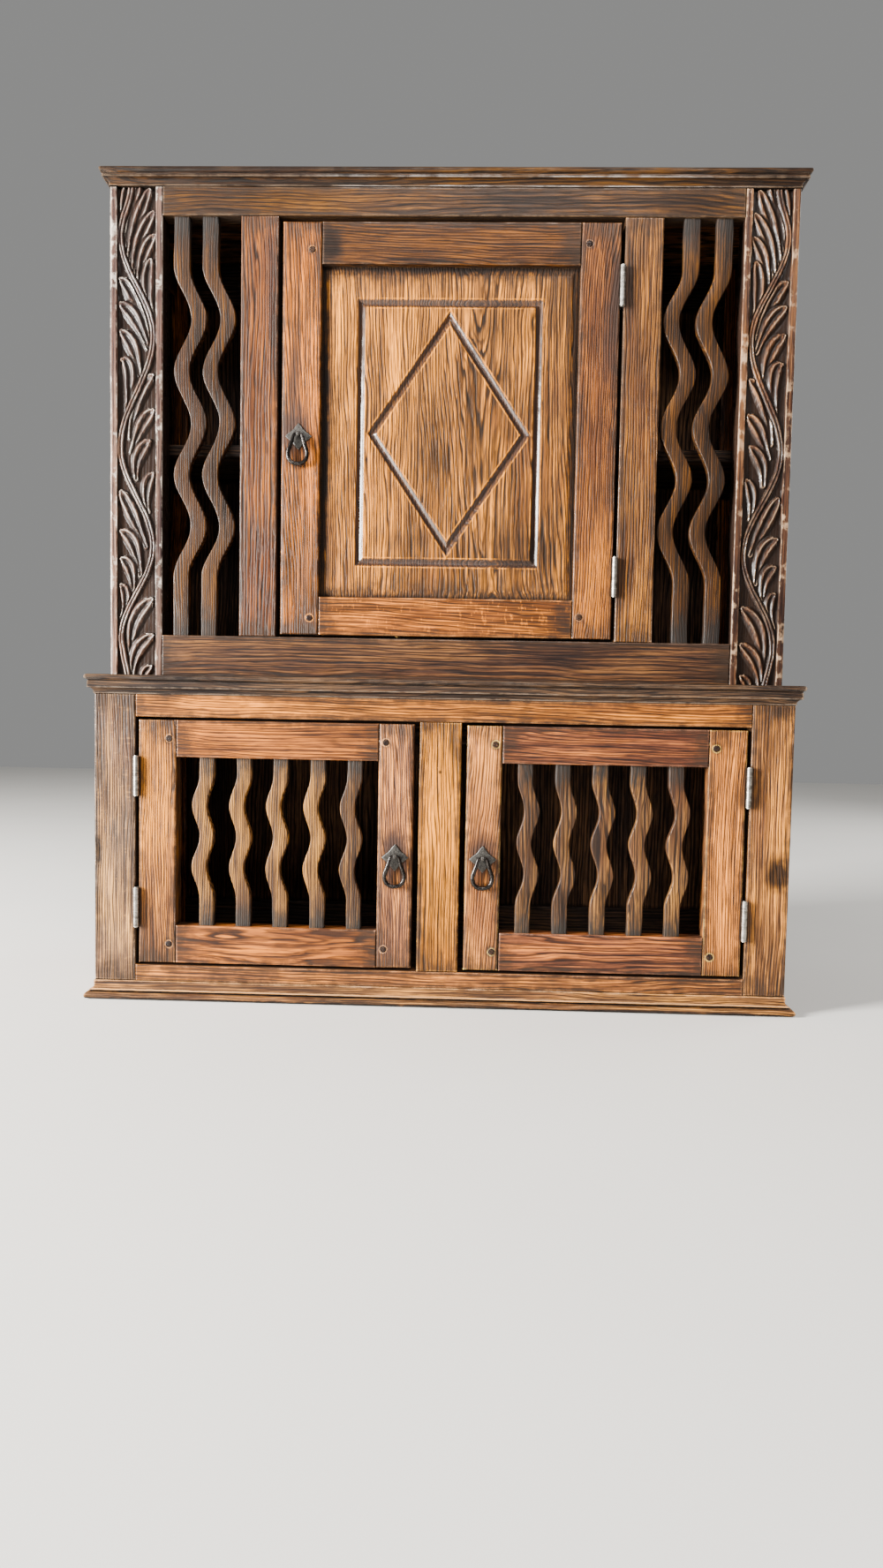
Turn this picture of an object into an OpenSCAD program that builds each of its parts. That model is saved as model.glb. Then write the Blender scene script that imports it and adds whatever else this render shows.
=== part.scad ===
// Two-stage oak wall cabinet: panelled door above, two slatted doors below.
// Millimetres. X runs to the right, Y to the wall, Z up.
// The origin is the middle of the base, on its underside.

/* [Case] */
// Width of both stages, without the mouldings
case_w = 884; // [860:5:980]
// Depth of the lower stage, from its front face to the wall
case_d = 289; // [240:1:340]
// Distance that the upper stage is set back behind the lower one
setback = 55; // [35:1:80]

/* [Heights] */
// Height of the base moulding
base_h = 23; // [21:1:30]
// Height of the bottom rail of the lower stage
lower_rail_h = 21; // [20:1:30]
// Height of the lower door opening
lower_open_h = 319; // [300:1:380]
// Height of the top rail of the lower stage
lower_top_rail_h = 29; // [25:1:40]
// Height of the waist moulding
waist_h = 24; // [20:1:30]
// Height of the bottom rail of the upper stage
upper_rail_h = 56; // [40:1:70]
// Height of the upper door opening
upper_open_h = 537.5; // [520:0.5:620]
// Height of the frieze rail under the cornice
frieze_h = 36.5; // [25:0.5:45]
// Height of the cornice
cornice_h = 20; // [19:1:28]

/* [Mouldings] */
// Overhang of the cornice
cornice_over = 11; // [8:0.5:14]
// Overhang of the waist moulding
waist_over = 10; // [8:0.5:11]
// Overhang of the base moulding
base_over = 11; // [11:0.5:16]
// Width of moulding that lies over the frame
mould_in = 16; // [10:1:20]

/* [Front frames] */
// Thickness of the front frames
frame_t = 24; // [20:1:30]
// Width of the lower corner posts
lower_post_w = 53; // [40:1:60]
// Depth of the lower corner posts, from front to back
lower_post_t = 36; // [32:1:44]
// Width of the middle muntin of the lower stage
lower_muntin_w = 53; // [40:1:70]
// Width of the carved corner posts
carved_post_w = 69; // [60:1:80]
// Thickness of the carved corner posts
carved_post_t = 30; // [26:1:36]
// Width of the plain border on each side of the carving
carve_border = 10.5; // [7:0.5:14]
// Depth of the ground that the carving stands on
carve_depth = 5; // [3:0.5:7]
// Distance from a carved post's top to the first bend of its stem
carve_first = 61; // [30:1:80]
// Length of half a wave of the carved stem
carve_half_wave = 132; // [110:1:150]
// Width of the carved stem
carve_stem_w = 7; // [5:0.5:9]
// Height of the carving above its ground
carve_rise = 3.6; // [2:0.2:4.8]
// Width of the muntins beside the upper door
upper_muntin_w = 49; // [40:1:60]
// Width of the slatted light beside each upper muntin
side_light_w = 102; // [96:1:120]

/* [Sides and back] */
// Thickness of the side frames
side_t = 22; // [18:1:26]
// Height of the side rails
side_rail_h = 46; // [36:1:60]
// Width of the rear posts
rear_post_w = 40; // [30:1:50]
// Thickness of the rear posts and back rails
back_t = 30; // [26:1:36]
// Height of the back rails
back_rail_h = 60; // [50:1:80]
// Thickness of the back boards
back_board_t = 10; // [8:1:14]
// Number of back boards in each stage
back_boards = 5; // [3:1:8]
// Thickness of the bottom board
floor_t = 18; // [14:1:20]
// Thickness of the shelf
shelf_t = 15; // [12:1:20]
// Height of the shelf's top above the base
shelf_z = 735; // [650:5:850]
// Distance of the shelf's front edge behind the upper stage's face
shelf_set = 54; // [50:1:110]
// Height and width of the shelf cleats
cleat = 14; // [10:1:20]

/* [Doors] */
// Thickness of the doors
door_t = 23.5; // [20:0.5:23.5]
// Gap on the hinge side of each door
hinge_gap = 4.4; // [4.2:0.1:5]
// Gap on the lock side of the upper door
upper_lock_gap = 5.2; // [3:0.1:7]
// Gap on the lock side of the lower doors
lower_lock_gap = 6.8; // [3:0.1:8]
// Gap below every door, and above the lower ones
door_gap = 3.2; // [2:0.1:5]
// Gap above the upper door
upper_top_gap = 6.4; // [2:0.1:7]
// Width of the upper door's stiles
upper_stile_w = 51; // [44:1:60]
// Height of the upper door's top rail
upper_door_top_h = 53.5; // [48:0.5:60]
// Height of the upper door's bottom rail
upper_door_bottom_h = 50; // [46:0.5:60]
// Width of the lower doors' hinge stiles
lower_hinge_stile_w = 48; // [44:1:56]
// Width of the lower doors' lock stiles
lower_lock_stile_w = 45; // [42:1:52]
// Height of the lower doors' top rails
lower_door_top_h = 47.5; // [44:0.5:56]
// Height of the lower doors' bottom rails
lower_door_bottom_h = 49; // [44:0.5:56]

/* [Joinery] */
// Thickness of the tenons
tenon_t = 8; // [6:0.5:10]
// Length of the tenons on the rails
tenon_l = 26; // [20:1:32]
// Length of the stub tenons
stub_l = 10; // [6:1:12]
// Shoulder above and below the door tenons
door_haunch = 9; // [9:0.5:12]
// Shoulder above and below the frame tenons
frame_haunch = 4; // [3:0.5:6]
// Clearance around tenons, housings and tongues
fit = 0.2; // [0.1:0.05:0.4]
// Radius of the oak pegs
peg_r = 4.5; // [3:0.25:5]
// Clearance around a peg
peg_fit = 0.05; // [0.03:0.01:0.1]
// Amount that a peg stands proud of the door
peg_proud = 0.8; // [0.3:0.1:1.5]

/* [Panels] */
// Depth of the panel grooves
groove_d = 8; // [6:0.5:8.5]
// Thickness of the panels' edges
tongue_t = 6.6; // [5:0.2:7]
// Depth of a panel's field behind the face of its frame
field_set = 5; // [3:0.5:7]
// Width of the bevel round a panel's field
bevel_w = 12; // [8:1:18]
// Width of the moulded channel on the door panel
channel_w = 10.5; // [6:0.5:12]
// Depth of the moulded channel on the door panel
channel_d = 3.6; // [2:0.1:4.5]
// Half width of the channelled rectangle, to its outer edge
rect_half_w = 120; // [100:1:125]
// Half height of the channelled rectangle, to its outer edge
rect_half_h = 171; // [140:1:172]
// Half width of the channelled diamond, to its outer edge
diamond_half_w = 106; // [80:1:108]
// Half height of the channelled diamond, to its outer edge
diamond_half_h = 157; // [120:1:159]

/* [Slats] */
// Thickness of the slats
slat_t = 11; // [8:1:14]
// Depth of the slats' faces behind the face of their frame
slat_set = 3.5; // [2:0.5:6]
// Depth of the housings that take the slats' ends
slat_house = 7; // [4:1:9]
// Width of the lower slats
lower_slat_w = 19; // [14:1:24]
// Distance between the lower slats
lower_slat_pitch = 47.5; // [40:0.5:50]
// Number of slats in each lower door
lower_slats = 5; // [3:1:5]
// Swing of the lower slats to each side
lower_swing = 4.5; // [2:0.5:7]
// Length of half a wave in the lower slats
lower_half_wave = 40; // [30:1:44]
// Straight length above the wave in the lower slats
lower_straight = 21; // [12:1:30]
// Width of the upper slats
upper_slat_w = 21.5; // [16:0.5:24]
// Distance from the carved post to the outer slat's middle
upper_slat_inset = 34.5; // [32:0.5:36]
// Distance between the slats of the left pair
left_slat_pitch = 37; // [34:0.5:42]
// Distance between the slats of the right pair
right_slat_pitch = 41; // [34:0.5:42]
// Swing of the upper slats to each side
upper_swing = 10.2; // [6:0.1:12]
// Length of half a wave in the upper slats
upper_half_wave = 66.4; // [60:0.2:70]
// Straight length above the wave in the upper slats
upper_straight = 62; // [50:1:70]

/* [Hinges] */
// Length of a butt hinge
hinge_len = 50; // [40:5:65]
// Radius of a hinge knuckle
knuckle_r = 3.5; // [3:0.1:3.6]
// Distance of the hinge axis in front of the face
hinge_out = 3.3; // [3.2:0.1:4]
// Thickness of a hinge leaf
leaf_t = 1.5; // [1:0.1:1.8]
// Width of a hinge leaf
leaf_w = 15; // [12:1:18]
// Radius of the hinge pin
pin_r = 1.5; // [1.2:0.1:1.8]
// Running clearance round the hinge pin
pin_fit = 0.06; // [0.03:0.01:0.1]
// Distance of the upper hinges' middles from the door's ends
upper_hinge_in = 80; // [60:1:110]
// Distance of the lower hinges' middles from the doors' ends
lower_hinge_in = 72; // [50:1:90]

/* [Pulls] */
// Half width of a pull's back plate
plate_half = 17; // [14:0.5:19]
// Thickness of a pull's back plate
plate_t = 1.6; // [1:0.1:2]
// Height of the upper pull above the base
upper_pull_z = 731; // [700:1:780]
// Height of the lower pulls above the base
lower_pull_z = 190; // [160:1:230]
// Distance of the drop's bar in front of the door
bar_out = 5.6; // [5.2:0.1:6]
// Radius of the drop's bar
bar_r = 1.6; // [1.3:0.1:1.8]
// Radius of the drop's rod
rod_r = 2; // [1.6:0.1:2.3]
// Half width of the drop at its bar
drop_top = 5.4; // [4.8:0.1:6.4]
// Radius of the drop's round end
drop_end_r = 12.4; // [10:0.2:14]
// Length of the drop from its bar to the middle of its round end
drop_l = 26; // [20:1:30]
// Running clearance round the drop's bar
bar_fit = 0.08; // [0.03:0.01:0.1]

/* [Wall screws] */
// Radius of the holes for the wall screws
screw_r = 2.75; // [2:0.25:3.5]
// Radius of the recess for a screw's head
head_r = 6; // [4:0.5:8]
// Depth of the recess for a screw's head
head_d = 5; // [3:0.5:8]
// Distance between the wall screws from side to side
screw_span = 600; // [400:20:720]

/* [Hidden] */
$fn = 48;

// Colours of the bare model
oak = "#8f5a2e";
dark_oak = "#5f3a20";
board_oak = "#4a2f1c";
iron = "#2b2a29";
steel = "#8d8a84";
brass = "#b08d4a";

// Heights of the stages, from the base up
z_base = base_h;
z_lower_rail = z_base + lower_rail_h;
z_lower_open = z_lower_rail + lower_open_h;
z_lower_top = z_lower_open + lower_top_rail_h;
z_waist = z_lower_top + waist_h;
z_upper_rail = z_waist + upper_rail_h;
z_upper_open = z_upper_rail + upper_open_h;
z_frieze = z_upper_open + frieze_h;

// Depths: the wall plane and the two front faces
y_wall = (case_d + base_over) / 2;
y_low = y_wall - case_d;
y_up = y_low + setback;
y_back = y_wall - back_t;

// Widths, measured from the middle
half_w = case_w / 2;
lower_in = half_w - lower_post_w;
upper_in = half_w - carved_post_w;
muntin_out = upper_in - side_light_w;
muntin_in = muntin_out - upper_muntin_w;
side_in = half_w - side_t;
rear_in = half_w - rear_post_w;

// Small fixed values
eps = 0.01;           // overlap of a cut beyond the face that it opens
gap = 0.3;            // free play between boards
stop_w = 12;          // width of a door stop
stop_lap = 8;         // overlap of a stop behind its door
stop_t = 10;          // thickness of a stop
knuckles = 5;         // knuckles of a butt hinge
knuckle_gap = 0.2;    // play between two knuckles
leaf_set = 0.5;       // a leaf's front edge behind the face
pin_head_r = 2.4;
pin_head_h = 0.8;
eye_r = 3.4;          // outside of the eye that carries a drop
eye_w = 3.6;          // width of that eye
washer_r = 6;
washer_t = 1.2;
nut_r = 4.2;
nut_t = 3;
drop_ball = 0.3;      // a drop's corner balls are this much larger in radius than its rod
drop_draw = 0.15;     // a drop's straight sides are drawn this much thinner in radius
drop_lap = 0.3;       // lap of a drop's straight sides into its round end
nut_gap = 0.1;        // play between a washer and its nut
nut_tail = 2;         // length of the bolt beyond its nut
mitre_gap = 0.2;      // joint line of the mitres
mould_line = 1.2;     // height of the sunk line beside a moulding's nose
bar_up = 2;           // height of the drop's bar above the plate's middle
pull_shift = 3;       // the upper pull sits this far off the middle of its stile, towards the lock edge
catch_x = -62;        // place of the upper door's ball catch
catch_r = 4;          // radius of its barrel
catch_l = 16;         // length of its barrel
catch_ball = 0.7;     // radius of its ball, as a share of the gap under the door
catch_plate_w = 36;
catch_plate_d = 14;
catch_plate_t = 1.2;

// A door is [lock edge, hinge edge, bottom, top, face, lock stile, hinge stile, bottom rail, top rail]
upper_door = [-muntin_in + upper_lock_gap, muntin_in - hinge_gap,
    z_upper_rail + door_gap, z_upper_open - upper_top_gap, y_up,
    upper_stile_w, upper_stile_w, upper_door_bottom_h, upper_door_top_h];
lower_door = [lower_muntin_w / 2 + lower_lock_gap, lower_in - hinge_gap,
    z_lower_rail + door_gap, z_lower_open - door_gap, y_low,
    lower_lock_stile_w, lower_hinge_stile_w, lower_door_bottom_h, lower_door_top_h];

function door_x0(d) = d[0] + d[5];
function door_x1(d) = d[1] - d[6];
function door_z0(d) = d[2] + d[7];
function door_z1(d) = d[3] - d[8];
function rail_mid(d, top) = top ? d[3] - d[8] / 2 : d[2] + d[7] / 2;

// Distances of the upper door's pegs from the stile's inner edge, and from the rail's middle upwards
upper_peg_in = [13, 12, 9, 10];
upper_peg_up = [-9, -3, 3, 0];
lower_peg_in = 9;
upper_pegs = [
    [door_x0(upper_door) - upper_peg_in[0], rail_mid(upper_door, true) + upper_peg_up[0]],
    [door_x0(upper_door) - upper_peg_in[1], rail_mid(upper_door, false) + upper_peg_up[1]],
    [door_x1(upper_door) + upper_peg_in[2], rail_mid(upper_door, false) + upper_peg_up[2]],
    [door_x1(upper_door) + upper_peg_in[3], rail_mid(upper_door, true) + upper_peg_up[3]]];
lower_pegs = [for (top = [true, false]) each [
    [door_x0(lower_door) - lower_peg_in, rail_mid(lower_door, top)],
    [door_x1(lower_door) + lower_peg_in, rail_mid(lower_door, top)]]];

// Mouldings as outlines: how far they stand out, and their height
function arc(cx, cz, r, a0, a1, n = 6) = [for (i = [0 : n]) let (a = a0 + (a1 - a0) * i / n)
    [cx + r * cos(a), cz + r * sin(a)]];
function crown_outline(over, h) = let (
    nose = 3.4,
    foot = 1,
    fillet = 2,
    band = over - 3,
    cove = over - 5,
    line = h - 2 * nose - mould_line)
    concat([[-mould_in, 0], [foot, 0]],
        arc(foot + cove, fillet, cove, 180, 90),
        [[band, fillet + cove], [band, line], [over - nose, line]],
        arc(over - nose, h - nose, nose, -90, 90),
        [[-mould_in, h]]);
function base_outline(over, h) = let (
    nose = 4.6,
    step = 1,
    tip = 0.4,
    cove = over - nose - step - tip,
    line = 2 * nose + mould_line)
    concat([[-mould_in, 0]],
        arc(over - nose, nose, nose, -90, 90),
        [[over - nose, line]],
        arc(over - nose - step, line + cove, cove, -90, -180),
        [[tip, h], [-mould_in, h]]);

module box(x0, x1, y0, y1, z0, z1) translate([x0, y0, z0]) cube([x1 - x0, y1 - y0, z1 - z0]);
module both_sides() {
    children();
    mirror([1, 0, 0]) children();
}
module along_x(x0, x1, y, z, r) translate([x0, y, z]) rotate([0, 90, 0]) cylinder(h = x1 - x0, r = r);
module along_y(x, y0, y1, z, r) translate([x, y0, z]) rotate([-90, 0, 0]) cylinder(h = y1 - y0, r = r);

// A mitred moulding round the front and both sides: the front length, then the two returns
module moulding(outline, y, z, h) {
    out = 40;
    reach = half_w + out;
    corner = half_w - mould_in;
    front = y + mould_in;
    intersection() {
        translate([-reach, y, z]) rotate([90, 0, 90]) linear_extrude(2 * reach)
            polygon([for (p = outline) [-p[0], p[1]]]);
        translate([0, 0, z - 1]) linear_extrude(h + 2)
            polygon([[-corner, front], [corner, front], [reach, y - out], [-reach, y - out]]);
    }
    both_sides() intersection() {
        translate([half_w, y_wall, z]) rotate([90, 0, 0]) linear_extrude(y_wall - y + out) polygon(outline);
        translate([0, mitre_gap, z - 1]) linear_extrude(h + 2)
            polygon([[corner, y_wall + 1], [corner, front], [reach, y - out], [reach, y_wall + 1]]);
    }
}
module cornice() color(dark_oak) moulding(crown_outline(cornice_over, cornice_h), y_up, z_frieze, cornice_h);
module waist_moulding() color(dark_oak)
    moulding(crown_outline(waist_over, waist_h), y_low, z_lower_top, waist_h);
module base_moulding() color(oak) moulding(base_outline(base_over, base_h), y_low, 0, base_h);

// Boards that close the stages, inside the mouldings
module board(y0, z0, z1) box(-half_w + mould_in, half_w - mould_in, y0 + mould_in, y_wall, z0, z1);
module top_board() color(dark_oak) board(y_up, z_frieze, z_frieze + floor_t);
module waist_board() color(dark_oak) board(y_low, z_lower_top, z_waist);
module bottom_board() color(board_oak) board(y_low, z_base - floor_t, z_base);

// A rail between x0 and x1 has a tenon at each end; play is the clearance that its mortises add
module tenons_x(x0, x1, z0, z1, y, t, l, haunch, play = 0)
    box(x0 - l - play, x1 + l + play, y + (t - tenon_t) / 2 - play, y + (t + tenon_t) / 2 + play,
        z0 + haunch - play, z1 - haunch + play);
module rail_x(x0, x1, z0, z1, y, t, l, haunch) {
    box(x0, x1, y, y + t, z0, z1);
    tenons_x(x0, x1, z0, z1, y, t, l, haunch);
}
// A muntin between z0 and z1 has a stub tenon at each end
module tenons_z(x0, x1, z0, z1, y, play = 0)
    box(x0 + door_haunch - play, x1 - door_haunch + play, y + (frame_t - tenon_t) / 2 - play,
        y + (frame_t + tenon_t) / 2 + play, z0 - stub_l - play, z1 + stub_l + play);
module muntin(x0, x1, z0, z1, y) {
    box(x0, x1, y, y + frame_t, z0, z1);
    tenons_z(x0, x1, z0, z1, y);
}

// Front rails of both stages, as calls that the posts' mortises repeat
module frieze_tenons(play = 0)
    tenons_x(-upper_in, upper_in, z_upper_open, z_frieze, y_up, frame_t, tenon_l, frame_haunch, play);
module upper_rail_tenons(play = 0)
    tenons_x(-upper_in, upper_in, z_waist, z_upper_rail, y_up, frame_t, tenon_l, frame_haunch, play);
module lower_rail_tenons(play = 0) {
    tenons_x(-lower_in, lower_in, z_lower_open, z_lower_top, y_low, frame_t, tenon_l, frame_haunch, play);
    tenons_x(-lower_in, lower_in, z_base, z_lower_rail, y_low, frame_t, tenon_l, frame_haunch, play);
}
module upper_muntin_tenons(play = 0) both_sides()
    tenons_z(muntin_in, muntin_out, z_upper_rail, z_upper_open, y_up, play);
module lower_muntin_tenons(play = 0)
    tenons_z(-lower_muntin_w / 2, lower_muntin_w / 2, z_lower_rail, z_lower_open, y_low, play);

// The side frame of a stage, on the right: y0 is the back of its front post, z0 and z1 are the stage's ends
side_tenon_x = side_in + (side_t - tenon_t) / 2;
side_panel_x = side_in + (side_t - tongue_t) / 2;
module side_tenons(y0, z0, z1, play = 0)
    for (z = [z0, z1 - side_rail_h])
        box(side_tenon_x - play, side_tenon_x + tenon_t + play, y0 - stub_l - play, y_back + stub_l + play,
            z + door_haunch - play, z + side_rail_h - door_haunch + play);
module side_groove(y0, z0, z1)
    box(side_panel_x - fit, side_panel_x + tongue_t + fit, y0 - groove_d, y_back + groove_d,
        z0 + side_rail_h - groove_d, z1 - side_rail_h + groove_d);
module side_cuts(y0, z0, z1) {
    side_tenons(y0, z0, z1, fit);
    side_groove(y0, z0, z1);
}
module side_rails(y0, z0, z1) both_sides() difference() {
    union() {
        for (z = [z0, z1 - side_rail_h]) box(side_in, half_w, y0, y_back, z, z + side_rail_h);
        side_tenons(y0, z0, z1);
    }
    side_groove(y0, z0, z1);
}
// A raised and fielded panel for an opening of w by h. It stands upright with its field at y = 0, facing -Y.
module fielded(w, h, rise) {
    lip = groove_d - fit;
    box(-w / 2 - lip, w / 2 + lip, rise, rise + tongue_t, -h / 2 - lip, h / 2 + lip);
    intersection() {
        translate([0, 0, -h / 2]) linear_extrude(h) slope(w / 2, rise);
        translate([-w / 2, 0, 0]) rotate([90, 0, 90]) linear_extrude(w)
            polygon([for (p = slope_points(h / 2, rise)) [p[1], p[0]]]);
    }
}
function slope_points(half, rise) = [[-half, rise + 1], [-half, rise], [-half + bevel_w, 0],
    [half - bevel_w, 0], [half, rise], [half, rise + 1]];
module slope(half, rise) polygon(slope_points(half, rise));
module side_panels(y0, z0, z1) both_sides()
    translate([half_w - field_set, (y0 + y_back) / 2, (z0 + z1) / 2]) rotate([0, 0, 90])
        fielded(y_back - y0, z1 - z0 - 2 * side_rail_h, (side_t - tongue_t) / 2 - field_set);

// The back of a stage: rails between the rear posts, and boards in their grooves
back_tenon_l = rear_post_w - (side_t + tenon_t) / 2 - 2;
module back_tenons(z0, z1, play = 0)
    for (z = [z0, z1 - back_rail_h])
        tenons_x(-rear_in, rear_in, z, z + back_rail_h, y_back, back_t, back_tenon_l, door_haunch, play);
module back_groove(z0, z1)
    box(-rear_in - groove_d, rear_in + groove_d,
        y_back + (back_t - back_board_t) / 2 - fit, y_back + (back_t + back_board_t) / 2 + fit,
        z0 + back_rail_h - groove_d, z1 - back_rail_h + groove_d);
module back_rails(z0, z1) difference() {
    union() {
        for (z = [z0, z1 - back_rail_h]) box(-rear_in, rear_in, y_back, y_wall, z, z + back_rail_h);
        back_tenons(z0, z1);
    }
    back_groove(z0, z1);
}
module boards(z0, z1) {
    lip = groove_d - fit;
    x0 = -rear_in - lip;
    w = 2 * (rear_in + lip) / back_boards;
    for (i = [0 : back_boards - 1])
        box(x0 + i * w, x0 + (i + 1) * w - gap, y_back + (back_t - back_board_t) / 2,
            y_back + (back_t + back_board_t) / 2, z0 + back_rail_h - lip, z1 - back_rail_h + lip);
}
module rear_posts(y0, z0, z1) both_sides() difference() {
    box(rear_in, half_w, y_back, y_wall, z0, z1);
    back_tenons(z0, z1, fit);
    back_groove(z0, z1);
    side_cuts(y0, z0, z1);
}
y_upper_side = y_up + carved_post_t;
y_lower_side = y_low + lower_post_t;
module upper_rear_posts() color(board_oak) rear_posts(y_upper_side, z_waist, z_frieze);
module lower_rear_posts() color(board_oak) rear_posts(y_lower_side, z_base, z_lower_top);
module upper_side_rails() color(oak) side_rails(y_upper_side, z_waist, z_frieze);
module lower_side_rails() color(oak) side_rails(y_lower_side, z_base, z_lower_top);
module upper_side_panels() color(oak) side_panels(y_upper_side, z_waist, z_frieze);
module lower_side_panels() color(oak) side_panels(y_lower_side, z_base, z_lower_top);
module upper_back_boards() color(board_oak) boards(z_waist, z_frieze);
module lower_back_boards() color(board_oak) boards(z_base, z_lower_top);
module lower_back_rails() color(board_oak) back_rails(z_base, z_lower_top);
z_screw = z_frieze - back_rail_h / 2;
module upper_back_rails() color(board_oak) difference() {
    back_rails(z_waist, z_frieze);
    for (s = [-1, 1]) {
        along_y(s * screw_span / 2, y_back - 1, y_wall + 1, z_screw, screw_r);
        along_y(s * screw_span / 2, y_back - 1, y_back + head_d, z_screw, head_r);
    }
}

// The shelf lies on two cleats between the posts
module shelf() color(board_oak)
    box(-side_in + gap, side_in - gap, y_up + shelf_set, y_back - gap, shelf_z - shelf_t, shelf_z);
module shelf_cleats() color(board_oak) both_sides()
    box(side_in - cleat, side_in, y_upper_side, y_back, shelf_z - shelf_t - cleat, shelf_z - shelf_t);

// The carved foliage: a waving stem with lobes that grow up from it towards the borders, as a flat outline.
// It is drawn for the left post, in X and Z, with X measured from the middle of the carved field.
field_w = carved_post_w - 2 * carve_border;
stem_swing = (field_w - carve_stem_w) / 2 - 1;
lobe_w = 7;
lobe_widths = [0.45, 0.7, 0.85, 1, 1, 0.85, 0.45];   // along a lobe, as shares of its width
lobe_starts = [8, 34, 60, 88];   // where lobes leave the stem, below its bend
lobe_tips = [66, 34, 2, -30];    // where lobes end, above its bend
bends = floor((z_frieze - z_waist - carve_first) / carve_half_wave) + 1;
function stem_x(z) = -stem_swing * cos(180 * (z_frieze - carve_first - z) / carve_half_wave);
function ribbon(mid, w) = let (n = len(mid) - 1) concat(
    [for (i = [0 : n]) mid[i] - side_step(mid, i, n) * w[i]],
    [for (i = [n : -1 : 0]) mid[i] + side_step(mid, i, n) * w[i]]);
function side_step(p, i, n) = let (d = p[min(i + 1, n)] - p[max(i - 1, 0)]) [d[1], -d[0]] / norm(d);
function bezier(a, b, c, n) = [for (i = [0 : n]) let (t = i / n)
    a * (1 - t) ^ 2 + b * 2 * t * (1 - t) + c * t ^ 2];
function lobe(k, i) = let (
    s = k % 2 == 0 ? 1 : -1,
    zb = z_frieze - carve_first - k * carve_half_wave,
    z0 = zb - lobe_starts[i],
    tip = [s * (field_w / 2 - 4), zb + lobe_tips[i]],
    root = [stem_x(z0), z0])
    bezier(root, [s * 2, (root[1] + 2 * tip[1]) / 3], tip, len(lobe_widths) - 1);
module lobe(k, i) polygon(ribbon(lobe(k, i), [for (share = lobe_widths) lobe_w / 2 * share]));
module foliage() {
    n = 10 * (bends + 1);
    stem = [for (i = [0 : n]) let (z = z_waist + (z_frieze - z_waist) * i / n) [stem_x(z), z]];
    intersection() {
        union() {
            polygon(ribbon(stem, [for (i = [0 : n]) carve_stem_w / 2]));
            for (k = [0 : bends], i = [0 : len(lobe_tips) - 1]) lobe(k, i);
        }
        translate([-field_w / 2, z_waist]) square([field_w, z_frieze - z_waist]);
    }
}
// The left carved post
module carved_post() {
    difference() {
        box(-half_w, -upper_in, y_up, y_up + carved_post_t, z_waist, z_frieze);
        box(-half_w + carve_border, -upper_in - carve_border, y_up - 1, y_up + carve_depth,
            z_waist - 1, z_frieze + 1);
        frieze_tenons(fit);
        upper_rail_tenons(fit);
        mirror([1, 0, 0]) side_cuts(y_upper_side, z_waist, z_frieze);
    }
    translate([-half_w + carved_post_w / 2, y_up + carve_depth, 0]) rotate([90, 0, 0])
        linear_extrude(carve_rise) foliage();
}
module carved_post_left() color(dark_oak) carved_post();
module carved_post_right() color(dark_oak) mirror([1, 0, 0]) carved_post();

// Slats: straight at both ends, with a row of waves between them that starts and ends on the same side
function wave(z, top, straight, half, count, swing) = let (t = (top - straight - z) / half)
    swing * (t <= 0 || t >= count ? 1 : cos(180 * t));
function even_waves(length, straight, half) = 2 * floor((length - 1.6 * straight) / (2 * half) + 0.5);
module slat(x, w, z0, z1, y, straight, half, swing) {
    count = max(2, min(even_waves(z1 - z0, straight, half), 2 * floor((z1 - z0 - straight) / (2 * half))));
    steps = 10;
    zs = concat([z1 + slat_house],
        [for (i = [0 : count * steps]) z1 - straight - i * half / steps],
        [z0 - slat_house]);
    xs = [for (z = zs) x + wave(z, z1, straight, half, count, swing)];
    n = len(zs) - 1;
    translate([0, y + slat_set + slat_t, 0]) rotate([90, 0, 0]) linear_extrude(slat_t)
        polygon(concat(
            [for (i = [0 : n]) [xs[i] - w / 2, zs[i]]],
            [for (i = [n : -1 : 0]) [xs[i] + w / 2, zs[i]]]));
}
module slat_housing(x, w, z0, z1, y, swing)
    for (z = [z0 - slat_house - fit, z1 - eps])
        box(x + swing - w / 2 - fit, x + swing + w / 2 + fit,
            y + slat_set - fit, y + slat_set + slat_t + fit, z, z + slat_house + fit + eps);
outer_slat_x = upper_in - upper_slat_inset;
function side_slats(pitch) = [outer_slat_x, outer_slat_x - pitch];
module upper_slats(pitch) for (x = side_slats(pitch))
    slat(x, upper_slat_w, z_upper_rail, z_upper_open, y_up, upper_straight, upper_half_wave, upper_swing);
module upper_slat_housings(pitch) for (x = side_slats(pitch))
    slat_housing(x, upper_slat_w, z_upper_rail, z_upper_open, y_up, upper_swing);
module side_slats_left() color(oak) mirror([1, 0, 0]) upper_slats(left_slat_pitch);
module side_slats_right() color(oak) upper_slats(right_slat_pitch);

// Upper frame
module upper_frame_cuts() {
    upper_muntin_tenons(fit);
    upper_slat_housings(right_slat_pitch);
    mirror([1, 0, 0]) upper_slat_housings(left_slat_pitch);
}
module frieze_rail() color(dark_oak) difference() {
    rail_x(-upper_in, upper_in, z_upper_open, z_frieze, y_up, frame_t, tenon_l, frame_haunch);
    upper_frame_cuts();
}
module upper_bottom_rail() color(dark_oak) difference() {
    rail_x(-upper_in, upper_in, z_waist, z_upper_rail, y_up, frame_t, tenon_l, frame_haunch);
    upper_frame_cuts();
    catch_seat();
}
module upper_muntin() muntin(muntin_in, muntin_out, z_upper_rail, z_upper_open, y_up);
module upper_muntin_left() color(oak) mirror([1, 0, 0]) upper_muntin();
module upper_muntin_right() color(oak) upper_muntin();

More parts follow.
